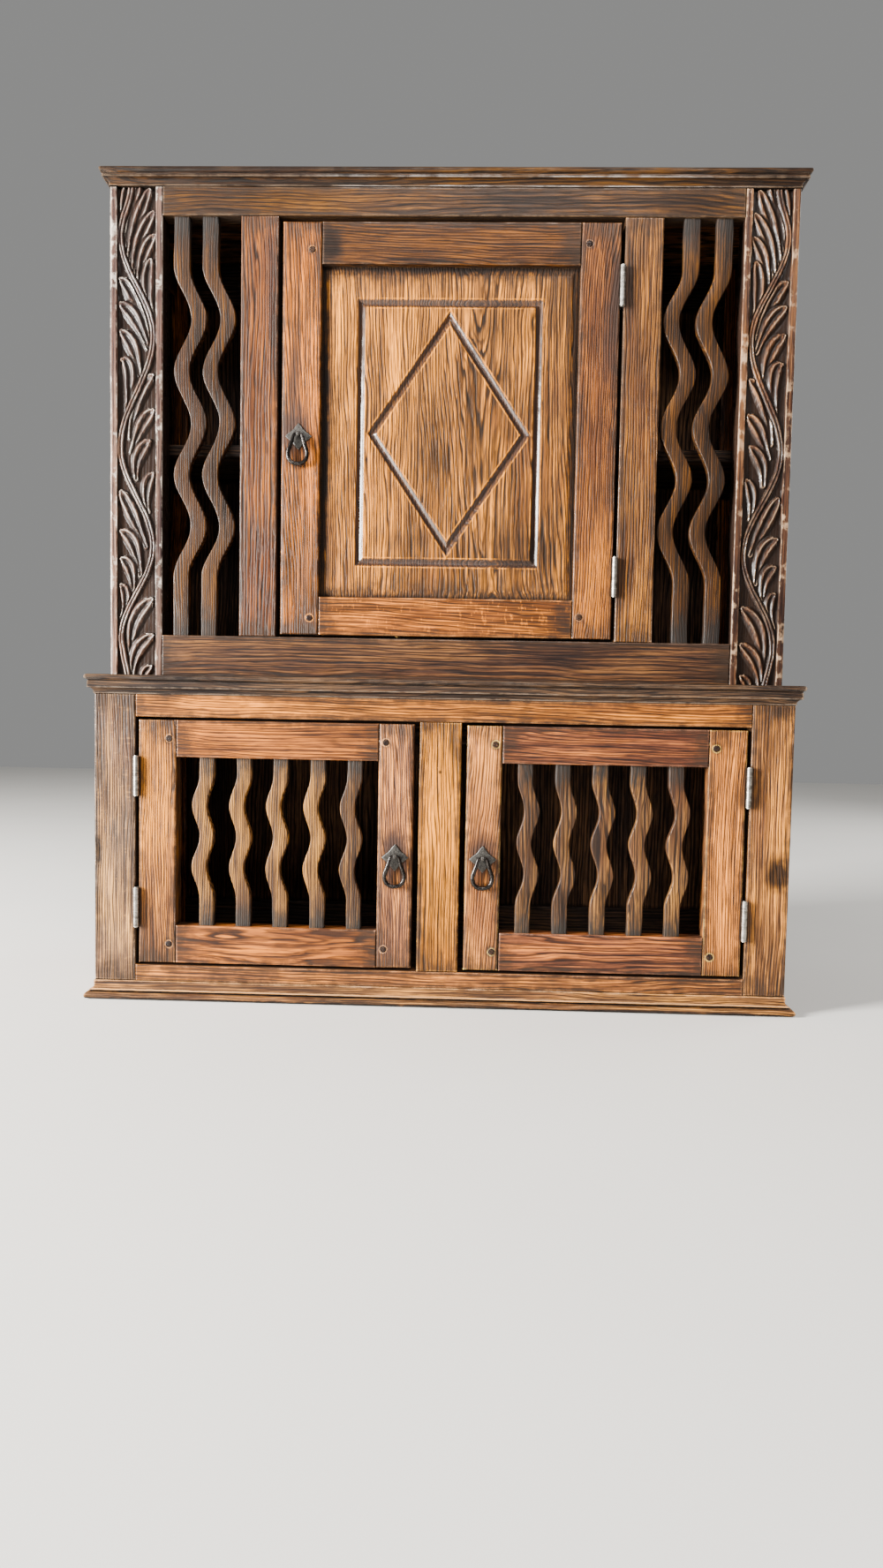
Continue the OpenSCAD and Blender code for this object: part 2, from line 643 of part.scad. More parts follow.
// Lower frame
module lower_post() difference() {
    box(lower_in, half_w, y_low, y_lower_side, z_base, z_lower_top);
    lower_rail_tenons(fit);
    side_cuts(y_lower_side, z_base, z_lower_top);
}
module lower_post_left() color(oak) mirror([1, 0, 0]) lower_post();
module lower_post_right() color(oak) lower_post();
module lower_top_rail() color(oak) difference() {
    rail_x(-lower_in, lower_in, z_lower_open, z_lower_top, y_low, frame_t, tenon_l, frame_haunch);
    lower_muntin_tenons(fit);
}
module lower_bottom_rail() color(oak) difference() {
    rail_x(-lower_in, lower_in, z_base, z_lower_rail, y_low, frame_t, tenon_l, frame_haunch);
    lower_muntin_tenons(fit);
}
module lower_muntin() color(oak)
    muntin(-lower_muntin_w / 2, lower_muntin_w / 2, z_lower_rail, z_lower_open, y_low);

// Strips behind the top rails that the doors close against
module door_stops() color(board_oak) {
    box(-muntin_in, muntin_in, y_up + frame_t, y_up + frame_t + stop_t, z_upper_open - stop_lap,
        z_upper_open - stop_lap + stop_w);
    both_sides() box(lower_muntin_w / 2, lower_in, y_low + frame_t, y_low + frame_t + stop_t,
        z_lower_open - stop_lap, z_lower_open - stop_lap + stop_w);
}

// A framed door: stiles, rails, and the mortises, grooves and peg holes between them
module door_tenons(d, play = 0)
    for (z = [[d[2], door_z0(d)], [door_z1(d), d[3]]])
        tenons_x(door_x0(d), door_x1(d), z[0], z[1], d[4], door_t, tenon_l, door_haunch, play);
module door_groove(d)
    box(door_x0(d) - groove_d, door_x1(d) + groove_d, d[4] + (door_t - tongue_t) / 2 - fit,
        d[4] + (door_t + tongue_t) / 2 + fit, door_z0(d) - groove_d, door_z1(d) + groove_d);
module peg_holes(d, pegs) for (p = pegs) along_y(p[0], d[4] - 1, d[4] + door_t - 1, p[1], peg_r + peg_fit);
module door_pegs(d, pegs) for (p = pegs) along_y(p[0], d[4] - peg_proud, d[4] + door_t - 1, p[1], peg_r);
module door_rails(d) {
    for (z = [[d[2], door_z0(d)], [door_z1(d), d[3]]])
        rail_x(door_x0(d), door_x1(d), z[0], z[1], d[4], door_t, tenon_l, door_haunch);
}
module lock_stile(d) box(d[0], door_x0(d), d[4], d[4] + door_t, d[2], d[3]);
module hinge_stile(d) box(door_x1(d), d[1], d[4], d[4] + door_t, d[2], d[3]);

// The upper door
module upper_door_cuts() {
    door_groove(upper_door);
    peg_holes(upper_door, upper_pegs);
}
module upper_door_lock_stile() color(oak) difference() {
    lock_stile(upper_door);
    door_tenons(upper_door, fit);
    upper_door_cuts();
    shank_hole(upper_pull_x, upper_pull_z, y_up);
}
module upper_door_hinge_stile() color(oak) difference() {
    hinge_stile(upper_door);
    door_tenons(upper_door, fit);
    upper_door_cuts();
}
module upper_door_rails() color(oak) difference() {
    door_rails(upper_door);
    upper_door_cuts();
    catch_bore();
}
module upper_door_pegs() color(dark_oak) door_pegs(upper_door, upper_pegs);

// A band of V-shaped channel round a shape with two pairs of parallel sides.
// The sides lie at the angles a, and their distances from the middle are h, to the channel's outer edge.
module wedge(angle, half_face, half_deep) {
    out = half_face + (half_face - half_deep) / channel_d;
    long = 2 * case_w;
    rotate([0, angle, 0]) translate([0, 0, -long / 2]) linear_extrude(long)
        polygon([[-out, -1], [out, -1], [half_deep, channel_d], [half_deep, channel_d + eps],
            [-half_deep, channel_d + eps], [-half_deep, channel_d]]);
}
module channel(a, h) difference() {
    intersection_for (i = [0, 1]) wedge(a[i], h[i], h[i] - channel_w / 2);
    translate([0, eps, 0]) intersection_for (i = [0, 1]) wedge(a[i], h[i] - channel_w, h[i] - channel_w / 2);
}
diamond_a = atan2(diamond_half_w, diamond_half_h);
diamond_h = diamond_half_w * cos(diamond_a);
module upper_door_panel() color(oak) difference() {
    translate([(door_x0(upper_door) + door_x1(upper_door)) / 2, y_up + field_set, panel_z])
        fielded(door_x1(upper_door) - door_x0(upper_door), door_z1(upper_door) - door_z0(upper_door),
            (door_t - tongue_t) / 2 - field_set);
    translate([(door_x0(upper_door) + door_x1(upper_door)) / 2, y_up + field_set, panel_z]) {
        channel([0, 90], [rect_half_w, rect_half_h]);
        channel([diamond_a, -diamond_a], [diamond_h, diamond_h]);
    }
}
panel_z = (door_z0(upper_door) + door_z1(upper_door)) / 2;

// A lower door, hung on the right; the left one is its mirror image
lower_mid_x = (door_x0(lower_door) + door_x1(lower_door)) / 2;
slat_xs = [for (i = [0 : lower_slats - 1]) lower_mid_x + (i - (lower_slats - 1) / 2) * lower_slat_pitch];
module lower_lock_stile() difference() {
    lock_stile(lower_door);
    door_tenons(lower_door, fit);
    peg_holes(lower_door, lower_pegs);
    shank_hole(lower_pull_x, lower_pull_z, y_low);
}
module lower_hinge_stile() difference() {
    hinge_stile(lower_door);
    door_tenons(lower_door, fit);
    peg_holes(lower_door, lower_pegs);
}
module lower_door_rails() difference() {
    door_rails(lower_door);
    peg_holes(lower_door, lower_pegs);
    for (x = slat_xs)
        slat_housing(x, lower_slat_w, door_z0(lower_door), door_z1(lower_door), y_low, -lower_swing);
}
module lower_door_slats() for (x = slat_xs)
    slat(x, lower_slat_w, door_z0(lower_door), door_z1(lower_door), y_low, lower_straight, lower_half_wave,
        -lower_swing);
module right_door_lock_stile() color(oak) lower_lock_stile();
module right_door_hinge_stile() color(oak) lower_hinge_stile();
module right_door_rails() color(oak) lower_door_rails();
module right_door_slats() color(oak) lower_door_slats();
module right_door_pegs() color(dark_oak) door_pegs(lower_door, lower_pegs);
module left_door_lock_stile() color(oak) mirror([1, 0, 0]) lower_lock_stile();
module left_door_hinge_stile() color(oak) mirror([1, 0, 0]) lower_hinge_stile();
module left_door_rails() color(oak) mirror([1, 0, 0]) lower_door_rails();
module left_door_slats() color(oak) mirror([1, 0, 0]) lower_door_slats();
module left_door_pegs() color(dark_oak) mirror([1, 0, 0]) door_pegs(lower_door, lower_pegs);

// Butt hinges: the axis lies in front of the gap beside a door's hinge edge
knuckle_h = hinge_len / knuckles;
function axis_x(d) = d[1] + hinge_gap / 2;
function axis_y(d) = d[4] - hinge_out;
upper_hinge_z = [upper_door[2] + upper_hinge_in, upper_door[3] - upper_hinge_in];
lower_hinge_z = [lower_door[2] + lower_hinge_in, lower_door[3] - lower_hinge_in];
// A leaf of each hinge of door d; first is 0 for the leaf on the case and 1 for the leaf on the door
module hinge_leaves(d, zs, first) for (zc = zs) {
    z0 = zc - hinge_len / 2;
    x0 = first == 0 ? d[1] + hinge_gap - leaf_t : d[1];
    difference() {
        union() {
            box(x0, x0 + leaf_t, d[4] + leaf_set, d[4] + leaf_w, z0, z0 + hinge_len);
            for (i = [first : 2 : knuckles - 1]) {
                z = z0 + i * knuckle_h + knuckle_gap / 2;
                translate([axis_x(d), axis_y(d), z]) cylinder(h = knuckle_h - knuckle_gap, r = knuckle_r);
                box(x0, x0 + leaf_t, axis_y(d), d[4] + leaf_set + 1, z, z + knuckle_h - knuckle_gap);
            }
        }
        translate([axis_x(d), axis_y(d), z0 - 1]) cylinder(h = hinge_len + 2, r = pin_r + pin_fit);
    }
}
module pins(d, zs) for (zc = zs) translate([axis_x(d), axis_y(d), zc]) {
    cylinder(h = hinge_len, r = pin_r, center = true);
    for (s = [-1, 1]) translate([0, 0, s * (hinge_len + pin_head_h) / 2])
        cylinder(h = pin_head_h, r = pin_head_r, center = true);
}
module fixed_hinge_leaves() color(steel) {
    hinge_leaves(upper_door, upper_hinge_z, 0);
    both_sides() hinge_leaves(lower_door, lower_hinge_z, 0);
}
module hinge_pins() color(steel) {
    pins(upper_door, upper_hinge_z);
    both_sides() pins(lower_door, lower_hinge_z);
}
module upper_door_hinge_leaves() color(steel) hinge_leaves(upper_door, upper_hinge_z, 1);
module right_door_hinge_leaves() color(steel) hinge_leaves(lower_door, lower_hinge_z, 1);
module left_door_hinge_leaves() color(steel) mirror([1, 0, 0]) hinge_leaves(lower_door, lower_hinge_z, 1);

// Iron pulls: a diamond plate, an eye whose tail is nutted behind the stile, and a pear-shaped drop
shank_r = eye_w / 2 - 0.3;
upper_pull_x = upper_door[0] + upper_stile_w / 2 - pull_shift;
lower_pull_x = lower_door[0] + lower_lock_stile_w / 2;
module shank_hole(x, z, y) along_y(x, y - 1, y + door_t + 1, z + bar_up, shank_r + fit);
module pull_plate(x, z, y) {
    zb = z + bar_up;
    difference() {
        translate([x, y, z]) rotate([90, 0, 0]) linear_extrude(plate_t)
            polygon([[-plate_half, 0], [0, -plate_half], [plate_half, 0], [0, plate_half]]);
        along_y(x, y - plate_t - 1, y + 1, zb, shank_r + fit);
    }
    difference() {
        union() {
            along_x(x - eye_w / 2, x + eye_w / 2, y - bar_out, zb, eye_r);
            along_y(x, y - bar_out, y + door_t + washer_t + nut_t + nut_tail, zb, shank_r);
        }
        along_x(x - eye_w, x + eye_w, y - bar_out, zb, bar_r + bar_fit);
    }
    for (r = [[washer_r, 0, washer_t], [nut_r, washer_t + nut_gap, nut_t]]) difference() {
        along_y(x, y + door_t + r[1], y + door_t + r[1] + r[2], zb, r[0]);
        along_y(x, y + door_t - 1, y + door_t + washer_t + nut_t + 1, zb, shank_r + peg_fit);
    }
}
module pull_drop(x, z, y) {
    a = atan2(drop_l, drop_top) - acos(drop_end_r / norm([drop_top, drop_l]));
    rod_l = sqrt(drop_top ^ 2 + drop_l ^ 2 - drop_end_r ^ 2);
    translate([x, y - bar_out, z + bar_up]) {
        along_x(-drop_top, drop_top, 0, 0, bar_r);
        both_sides() {
            translate([drop_top, 0, 0]) sphere(r = rod_r + drop_ball);
            translate([drop_end_r * cos(a), 0, drop_end_r * sin(a) - drop_l]) rotate([0, -a, 0])
                translate([0, 0, -drop_lap]) cylinder(h = rod_l + drop_lap, r = rod_r - drop_draw);
        }
        translate([0, 0, -drop_l]) rotate([90, 0, 0]) rotate([0, 0, 180 - a])
            rotate_extrude(angle = 180 + 2 * a) translate([drop_end_r, 0]) circle(r = rod_r);
    }
}
module upper_pull_plate() color(iron) pull_plate(upper_pull_x, upper_pull_z, y_up);
module upper_pull_drop() color(iron) pull_drop(upper_pull_x, upper_pull_z, y_up);
module right_pull_plate() color(iron) pull_plate(lower_pull_x, lower_pull_z, y_low);
module right_pull_drop() color(iron) pull_drop(lower_pull_x, lower_pull_z, y_low);
module left_pull_plate() color(iron) mirror([1, 0, 0]) pull_plate(lower_pull_x, lower_pull_z, y_low);
module left_pull_drop() color(iron) mirror([1, 0, 0]) pull_drop(lower_pull_x, lower_pull_z, y_low);

// A ball catch in the upper door's bottom edge, and its plate in the rail below
catch_y = y_up + door_t / 2;
module catch_bore() {
    translate([catch_x, catch_y, upper_door[2] - 1]) cylinder(h = catch_l + 1 + fit, r = catch_r + fit);
}
module catch_seat() box(catch_x - catch_plate_w / 2 - fit, catch_x + catch_plate_w / 2 + fit,
    catch_y - catch_plate_d / 2 - fit, catch_y + catch_plate_d / 2 + fit,
    z_upper_rail - catch_plate_t, z_upper_rail + 1);
module catch_plate() color(brass)
    box(catch_x - catch_plate_w / 2, catch_x + catch_plate_w / 2, catch_y - catch_plate_d / 2,
        catch_y + catch_plate_d / 2, z_upper_rail - catch_plate_t, z_upper_rail);
module upper_door_catch() color(brass) translate([catch_x, catch_y, upper_door[2]]) {
    cylinder(h = catch_l, r = catch_r);
    sphere(r = catch_ball * door_gap);
}

cornice();
waist_moulding();
base_moulding();
carved_post_left();
carved_post_right();
frieze_rail();
upper_bottom_rail();
upper_muntin_left();
upper_muntin_right();
side_slats_left();
side_slats_right();
upper_rear_posts();
upper_side_rails();
upper_side_panels();
upper_back_rails();
upper_back_boards();
top_board();
shelf();
shelf_cleats();
waist_board();
lower_post_left();
lower_post_right();
lower_top_rail();
lower_bottom_rail();
lower_muntin();
lower_rear_posts();
lower_side_rails();
lower_side_panels();
lower_back_rails();
lower_back_boards();
bottom_board();
door_stops();
catch_plate();
fixed_hinge_leaves();
hinge_pins();
upper_door_lock_stile();
upper_door_hinge_stile();
upper_door_rails();
upper_door_panel();
upper_door_pegs();
upper_door_catch();
upper_door_hinge_leaves();
upper_pull_plate();
upper_pull_drop();
left_door_lock_stile();
left_door_hinge_stile();
left_door_rails();
left_door_slats();
left_door_pegs();
left_door_hinge_leaves();
left_pull_plate();
left_pull_drop();
right_door_lock_stile();
right_door_hinge_stile();
right_door_rails();
right_door_slats();
right_door_pegs();
right_door_hinge_leaves();
right_pull_plate();
right_pull_drop();
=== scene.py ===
import math
from types import SimpleNamespace

import bmesh
import bpy
import numpy as np
from mathutils import Matrix, Vector


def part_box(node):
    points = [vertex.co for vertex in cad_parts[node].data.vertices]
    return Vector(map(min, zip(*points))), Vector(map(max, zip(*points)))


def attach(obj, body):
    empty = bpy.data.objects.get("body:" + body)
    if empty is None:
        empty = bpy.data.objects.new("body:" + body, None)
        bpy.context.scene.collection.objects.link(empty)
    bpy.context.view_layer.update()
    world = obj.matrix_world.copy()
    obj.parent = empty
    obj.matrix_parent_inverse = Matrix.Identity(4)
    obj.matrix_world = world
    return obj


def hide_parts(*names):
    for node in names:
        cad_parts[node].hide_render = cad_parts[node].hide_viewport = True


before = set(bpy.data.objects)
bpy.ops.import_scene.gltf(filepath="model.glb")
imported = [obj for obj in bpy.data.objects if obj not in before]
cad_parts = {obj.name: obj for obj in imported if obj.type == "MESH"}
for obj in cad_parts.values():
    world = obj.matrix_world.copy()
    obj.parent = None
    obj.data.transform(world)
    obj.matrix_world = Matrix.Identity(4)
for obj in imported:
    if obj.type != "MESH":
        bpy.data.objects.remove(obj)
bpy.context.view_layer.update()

MM = 0.001

# Sizes that several pieces share, in metres, taken from the frame
post_low, post_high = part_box("carved_post_right")
lower_post_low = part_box("lower_post_right")[0]
FACE_UP = post_low.y
FACE_LOW = lower_post_low.y
HALF_W = post_high.x
UPPER_IN = post_low.x
LOWER_IN = lower_post_low.x
UPPER_X = (-UPPER_IN, UPPER_IN)
LOWER_X = (-LOWER_IN, LOWER_IN)
UPPER_Z = (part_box("upper_bottom_rail")[1].z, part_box("frieze_rail")[0].z)
LOWER_Z = (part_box("lower_bottom_rail")[1].z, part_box("lower_top_rail")[0].z)
FRAME_T = 24 * MM
DOOR_T = 23.5 * MM
CARVED_T = 30 * MM
POST_T = 36 * MM


# Noise on arrays of points

def hashed(ix, iy, iz, seed):
    """Repeatable random numbers from 0 to 1 for whole-number points."""
    n = ix * 374761393 + iy * 668265263 + iz * 2147483647 + seed * 1274126177
    n = (n ^ (n >> 13)) * 1103515245
    n = n ^ (n >> 16)
    return (n & 0xFFFFFF) / float(0xFFFFFF)


def smooth_noise(x, y, z, size, seed=0):
    """Value noise from -1 to 1 whose bumps are about size metres wide."""
    x, y, z = np.broadcast_arrays(np.asarray(x, float), np.asarray(y, float), np.asarray(z, float))
    px, py, pz = x / size, y / size, z / size
    ix, iy, iz = (np.floor(p).astype(np.int64) for p in (px, py, pz))
    fx, fy, fz = px - ix, py - iy, pz - iz
    fx, fy, fz = (f * f * (3 - 2 * f) for f in (fx, fy, fz))
    total = 0
    for dx in (0, 1):
        for dy in (0, 1):
            for dz in (0, 1):
                weight = (fx if dx else 1 - fx) * (fy if dy else 1 - fy) * (fz if dz else 1 - fz)
                total = total + weight * hashed(ix + dx, iy + dy, iz + dz, seed)
    return total * 2 - 1


def layered(x, y, z, size, seed=0, layers=3):
    """Several layers of noise, each half the size and half the strength of the one before."""
    total = 0
    for i in range(layers):
        total = total + smooth_noise(x, y, z, size / 2 ** i, seed + 17 * i) / 2 ** i
    return total / (2 - 0.5 ** (layers - 1))


def noise_at(x, y, z, size, seed):
    return float(layered(x, y, z, size, seed))


def smoothstep(low, high, value):
    t = np.clip((value - low) / (high - low), 0, 1)
    return t * t * (3 - 2 * t)


# Shaders

class Shader:
    """Builds a node material with one call for each node. colour is the colour so far."""

    def __init__(self, name):
        self.material = bpy.data.materials.new(name)
        self.material.use_nodes = True
        self.tree = self.material.node_tree
        self.tree.nodes.clear()
        self.place = self.add("TexCoord").outputs["Object"]
        self.colour = None

    def put(self, socket, value):
        if isinstance(value, bpy.types.NodeSocket):
            self.tree.links.new(value, socket)
        else:
            socket.default_value = value

    def add(self, kind, inputs=None, **settings):
        node = self.tree.nodes.new("ShaderNode" + kind)
        for key, value in settings.items():
            setattr(node, key, value)
        for key, value in (inputs or {}).items():
            self.put(node.inputs[key], value)
        return node

    def math(self, operation, a, b=0.0, clamp=False):
        return self.add("Math", {0: a, 1: b}, operation=operation, use_clamp=clamp).outputs[0]

    def plus(self, a, b, clamp=False):
        return self.math("ADD", a, b, clamp)

    def minus(self, a, b, clamp=False):
        return self.math("SUBTRACT", a, b, clamp)

    def times(self, a, b):
        return self.math("MULTIPLY", a, b)

    def least(self, a, b):
        return self.math("MINIMUM", a, b)

    def apart(self, a, b):
        return self.math("ABSOLUTE", self.minus(a, b))

    def weighed(self, *parts):
        """The sum of several values, each times its weight."""
        total = None
        for value, weight in parts:
            part = self.times(value, weight)
            total = part if total is None else self.plus(total, part)
        return total

    def vector(self, operation, a, b):
        return self.add("VectorMath", {0: a, 1: b}, operation=operation).outputs[0]

    def length(self, vector):
        return self.add("VectorMath", {0: vector}, operation="LENGTH").outputs["Value"]

    def mix(self, factor, a, b):
        node = self.add("Mix", {0: factor, 6: a, 7: b}, data_type="RGBA")
        return node.outputs[2]

    def lay(self, factor, strength, tone):
        """Lays a tone over the colour so far."""
        self.colour = self.mix(self.times(factor, strength), self.colour, srgb(*tone))

    def ramp(self, value, *stops):
        """Each stop is a place from 0 to 1 and its colour, or a number for a grey."""
        node = self.add("ValToRGB", {"Fac": value})
        ramp = node.color_ramp
        while len(ramp.elements) < len(stops):
            ramp.elements.new(0.5)
        for element, (place, colour) in zip(ramp.elements, stops):
            element.position = place
            element.color = colour if isinstance(colour, tuple) else (colour, colour, colour, 1)
        return node.outputs[0]

    def step(self, value, low, high):
        """0 below low, 1 above high, smooth between them."""
        inputs = {"Value": value, "From Min": low, "From Max": high}
        return self.add("MapRange", inputs, interpolation_type="SMOOTHSTEP").outputs[0]

    def below(self, value, low, high):
        """1 below low, 0 above high, smooth between them."""
        return self.minus(1.0, self.step(value, low, high))

    def noise(self, vector, scale=1.0, detail=2.0, rough=0.5):
        inputs = {"Vector": vector, "Scale": scale, "Detail": detail, "Roughness": rough}
        return self.add("TexNoise", inputs).outputs[0]

    def even_noise(self, scale, detail, rough=0.5):
        """Noise with scale bumps to a metre in every direction."""
        return self.noise(self.vector("MULTIPLY", self.place, (scale,) * 3), 1.0, detail, rough)

    def occlusion(self, distance, inside=False):
        node = self.add("AmbientOcclusion", {"Distance": distance}, inside=inside, samples=6)
        return self.minus(1.0, node.outputs[1])

    def bumps(self, layers):
        """layers is a list of (height, distance in metres)."""
        normal = None
        for height, distance in layers:
            inputs = {"Height": height, "Distance": distance, "Strength": 1.0}
            if normal is not None:
                inputs["Normal"] = normal
            normal = self.add("Bump", inputs).outputs[0]
        return normal

    def finish(self, **inputs):
        inputs["Base_Color"] = self.colour
        surface = self.add("BsdfPrincipled", {k.replace("_", " "): v for k, v in inputs.items()})
        output = self.add("OutputMaterial")
        self.tree.links.new(surface.outputs[0], output.inputs[0])
        return self.material


def srgb(r, g, b):
    """A colour given as 0 to 255 screen values."""
    return tuple(((c / 255 + 0.055) / 1.055) ** 2.4 if c > 10 else c / 255 / 12.92 for c in (r, g, b)) + (1,)


def shade(colour, share):
    """A board's colour made darker, or lighter and more golden."""
    r, g, b = colour
    if share < 1:
        return (r * share, g * share ** 1.02, b * share ** 0.8)
    share = min(share, 252 / r)
    golden = min(1.0, max(0.0, (1 - b / r - 0.5) / 0.25))
    return (r * share, g * share, b * (golden * (2 - share) + (1 - golden) * share))


def worn_and_highlit(colour):
    """The paler, greyer tone of a worn edge, which is also a painted highlight on the arris."""
    r, g, b = colour
    return (min(250.0, r * 1.12 + 34), min(240.0, g * 1.10 + 40), min(230.0, b * 1.10 + 42))


# For each grain direction: the cross axis that shows on the face, the axis of depth, the axis of the grain
GRAIN = {"x": (2, 1, 0), "y": (2, 0, 1), "z": (0, 1, 2)}

GREYED = (124, 116, 106)
OLD_WAX_AND_SHADE = (38, 23, 17)
CARVING_WAX_AND_SHADE = (26, 18, 14)
HOLLOW_DIRT_AND_SHADE = (20, 13, 9)

# The look of a plain board. The materials below name only what differs
PLAIN_LOOK = {
    # The figure: a number that shifts all noise, rings to a metre, the pith's lean along the grain, how far
    # the rings wander, how strong they are, and how much there is of ray flecks, grey patches and stains
    "seed": 0.0, "lines": 150, "tilt": (0.0, 0.0), "warp": 4.0, "figure": 1.0, "fleck": 0.0, "grey": 0.0,
    "stain": 0.5,
    # The board's visible face as x0, x1, z0, z1 in metres, how strongly and how far in its edges are soiled
    "edges": None, "soil": 0.75, "soil_reach": 0.036, "dirt": (38, 28, 21),
    # Dark patches of grease and of painted shadow: x, z, half width, half height in millimetres and
    # strength, and their tone
    "marks": (), "smudge": (19, 13, 10),
    # Channels darkened with wax and painted shade: middle x and z, width and lines. Places along Y of a
    # carving's clean crests and of its ground, which is darkened with wax and painted shade
    "channels": None, "sunk": None,
    # Worn edges, whose paler tone is also a painted highlight, and hollows darkened with dirt and painted
    # shade: strength, limits, tone, the hollows' reach in metres
    "wear": 0.6, "rub": (0.14, 0.52), "worn": None, "grime": 0.85, "hollow": 0.007,
    # The finish: roughness, wax, more wax on worn edges, and the depth of the grain's relief
    "rough": 0.42, "coat": 0.04, "polish": 0.9, "relief": 1.0}


class Oak(Shader):
    """Aged, waxed oak. tone is the board's middle colour on the screen."""

    def __init__(self, name, grain, tone, look):
        super().__init__(name)
        self.tone, self.grain, self.look = tone, grain, look
        parts = self.add("SeparateXYZ", {"Vector": self.place}).outputs
        self.x, self.y, self.z = parts
        across, deep, self.along = (parts[i] for i in GRAIN[grain])
        self.base = self.add("CombineXYZ", {"X": across, "Y": deep, "Z": self.along}).outputs[0]
        seed = look.seed
        self.own = self.vector("ADD", self.base, (seed * 1.37, seed * 0.71, seed * 2.11))

    def grain_noise(self, cross, length, detail=2.0, rough=0.5):
        """Noise with cross bumps to a metre across the grain and length bumps to a metre along it."""
        return self.noise(self.vector("MULTIPLY", self.own, (cross, cross, length)), 1.0, detail, rough)

    def shaded(self, factor, strength, share):
        """Lays a darker or lighter shade of the board's tone over the colour."""
        self.lay(factor, strength, shade(self.tone, share))

    def ragged(self, value, amount):
        """The value made uneven by the patches."""
        return self.plus(value, self.times(self.minus(self.patchy, 0.5), amount))

    def from_pith(self, pith):
        """Distance from the pith, a line along the grain that is given by its place on the other axes."""
        wander = {"Vector": self.vector("MULTIPLY", self.own, (13, 13, 3.2)), "Scale": 1.0, "Detail": 3.0}
        wander = self.add("TexNoise", wander).outputs["Color"]
        wander = self.vector("SUBTRACT", wander, (0.5, 0.5, 0.5))
        bend = self.look.warp * MM * 7
        bent = self.vector("ADD", self.base, self.vector("MULTIPLY", wander, (bend, bend, 0)))
        lean_x, lean_y = (self.times(self.along, t) for t in self.look.tilt)
        lean = self.add("CombineXYZ", {"X": lean_x, "Y": lean_y}).outputs[0]
        radial = self.vector("SUBTRACT", self.vector("ADD", bent, lean), (*pith, 0))
        return self.length(self.vector("MULTIPLY", radial, (1, 1, 0)))

    def dark_lines(self, distance, shift, count, offset, low, high):
        """1 on the dark lines between the rings, count to a metre, broken up along the grain."""
        width = 0.30
        phase = self.plus(self.times(distance, count), shift)
        phase = self.math("FRACT", self.plus(phase, offset))
        lines = self.ramp(phase, (0.0, 1.0), (width * 0.5, 0.9), (width * 1.3, 0.0), (1 - width * 0.4, 0.0),
                          (1.0, 1.0))
        return self.times(lines, self.step(self.grain_noise(90, 9, 3.0, 0.6), low, high))

    def draw_figure(self, pith):
        """The wood itself. Returns the broad rings and the layers of its relief."""
        look = self.look
        distance = self.from_pith(pith)
        shift = self.weighed((self.grain_noise(46, 2.2, 3.0, 0.6), 3.2), (self.grain_noise(160, 22), 0.3))
        rings = self.dark_lines(distance, shift, look.lines * 1.55, 0.0, 0.22, 0.46)
        thin = self.dark_lines(distance, shift, look.lines * 3.1, 0.37, 0.34, 0.56)
        dashes = self.step(self.grain_noise(420, 30, 2.0, 0.6), 0.53, 0.66)
        streaks = self.grain_noise(330, 6, 3.0, 0.6)
        fibre = self.grain_noise(900, 24, 2.0, 0.6)
        mottle = self.grain_noise(95, 30, 3.0, 0.6)
        blotch = self.grain_noise(13, 4.5, 3.0, 0.5)
        broad = self.grain_noise(5, 2.4, 2.0, 0.5)
        value = self.weighed((streaks, 0.65), (blotch, 0.5), (mottle, 0.14), (broad, 0.3), (fibre, 0.35))
        shades = ((0.32, 0.34), (0.44, 0.74), (0.53, 1.14), (0.66, 1.50))
        stops = [(place, srgb(*shade(self.tone, share))) for place, share in shades]
        self.colour = self.ramp(self.minus(value, 0.50), *stops)
        reddish = [c * k for c, k in zip(shade(self.tone, 0.76), (1.0, 0.90, 0.95))]
        self.lay(self.step(self.grain_noise(8, 4, 3.0, 0.6), 0.48, 0.70), 0.45, reddish)
        if look.fleck:
            self.shaded(self.step(self.grain_noise(80, 260, 2.0, 0.6), 0.58, 0.66), look.fleck, 1.36)
        self.shaded(dashes, 0.6 * look.figure, 0.28)
        self.shaded(thin, 0.78 * look.figure, 0.24)
        self.shaded(rings, 0.92 * look.figure, 0.14)
        self.patchy = self.step(self.even_noise(55, 4.0, 0.65), 0.34, 0.66)
        if look.grey:
            self.lay(self.step(self.grain_noise(34, 9, 3.0, 0.6), 0.40, 0.62), look.grey, GREYED)
        self.shaded(self.step(self.grain_noise(12, 4.5, 4.0, 0.6), 0.55, 0.72), look.stain, 0.34)
        heights = ((streaks, 0.0003), (rings, -0.0004), (dashes, -0.0002), (blotch, 0.0010))
        return rings, [(height, depth * look.relief) for height, depth in heights]

    def soil_edges(self):
        """Dirt along the sides and ends of the visible face. It reaches further in from the ends."""
        x0, x1, z0, z1 = self.look.edges
        x_near = self.least(self.minus(self.x, x0), self.minus(x1, self.x))
        z_near = self.least(self.minus(self.z, z0), self.minus(z1, self.z))
        side, end = (x_near, z_near) if self.grain == "z" else (z_near, x_near)
        nearest = self.ragged(self.least(self.times(side, 3.2), end), 18 * MM)
        self.lay(self.below(nearest, 0.0, self.look.soil_reach), self.look.soil, self.look.dirt)

    def near_front(self):
        """1 close to the front face of either stage, so that a door's back has no marks."""
        off_front = self.least(self.apart(self.y, FACE_UP), self.apart(self.y, FACE_LOW))
        return self.below(off_front, 11 * MM, 13 * MM)

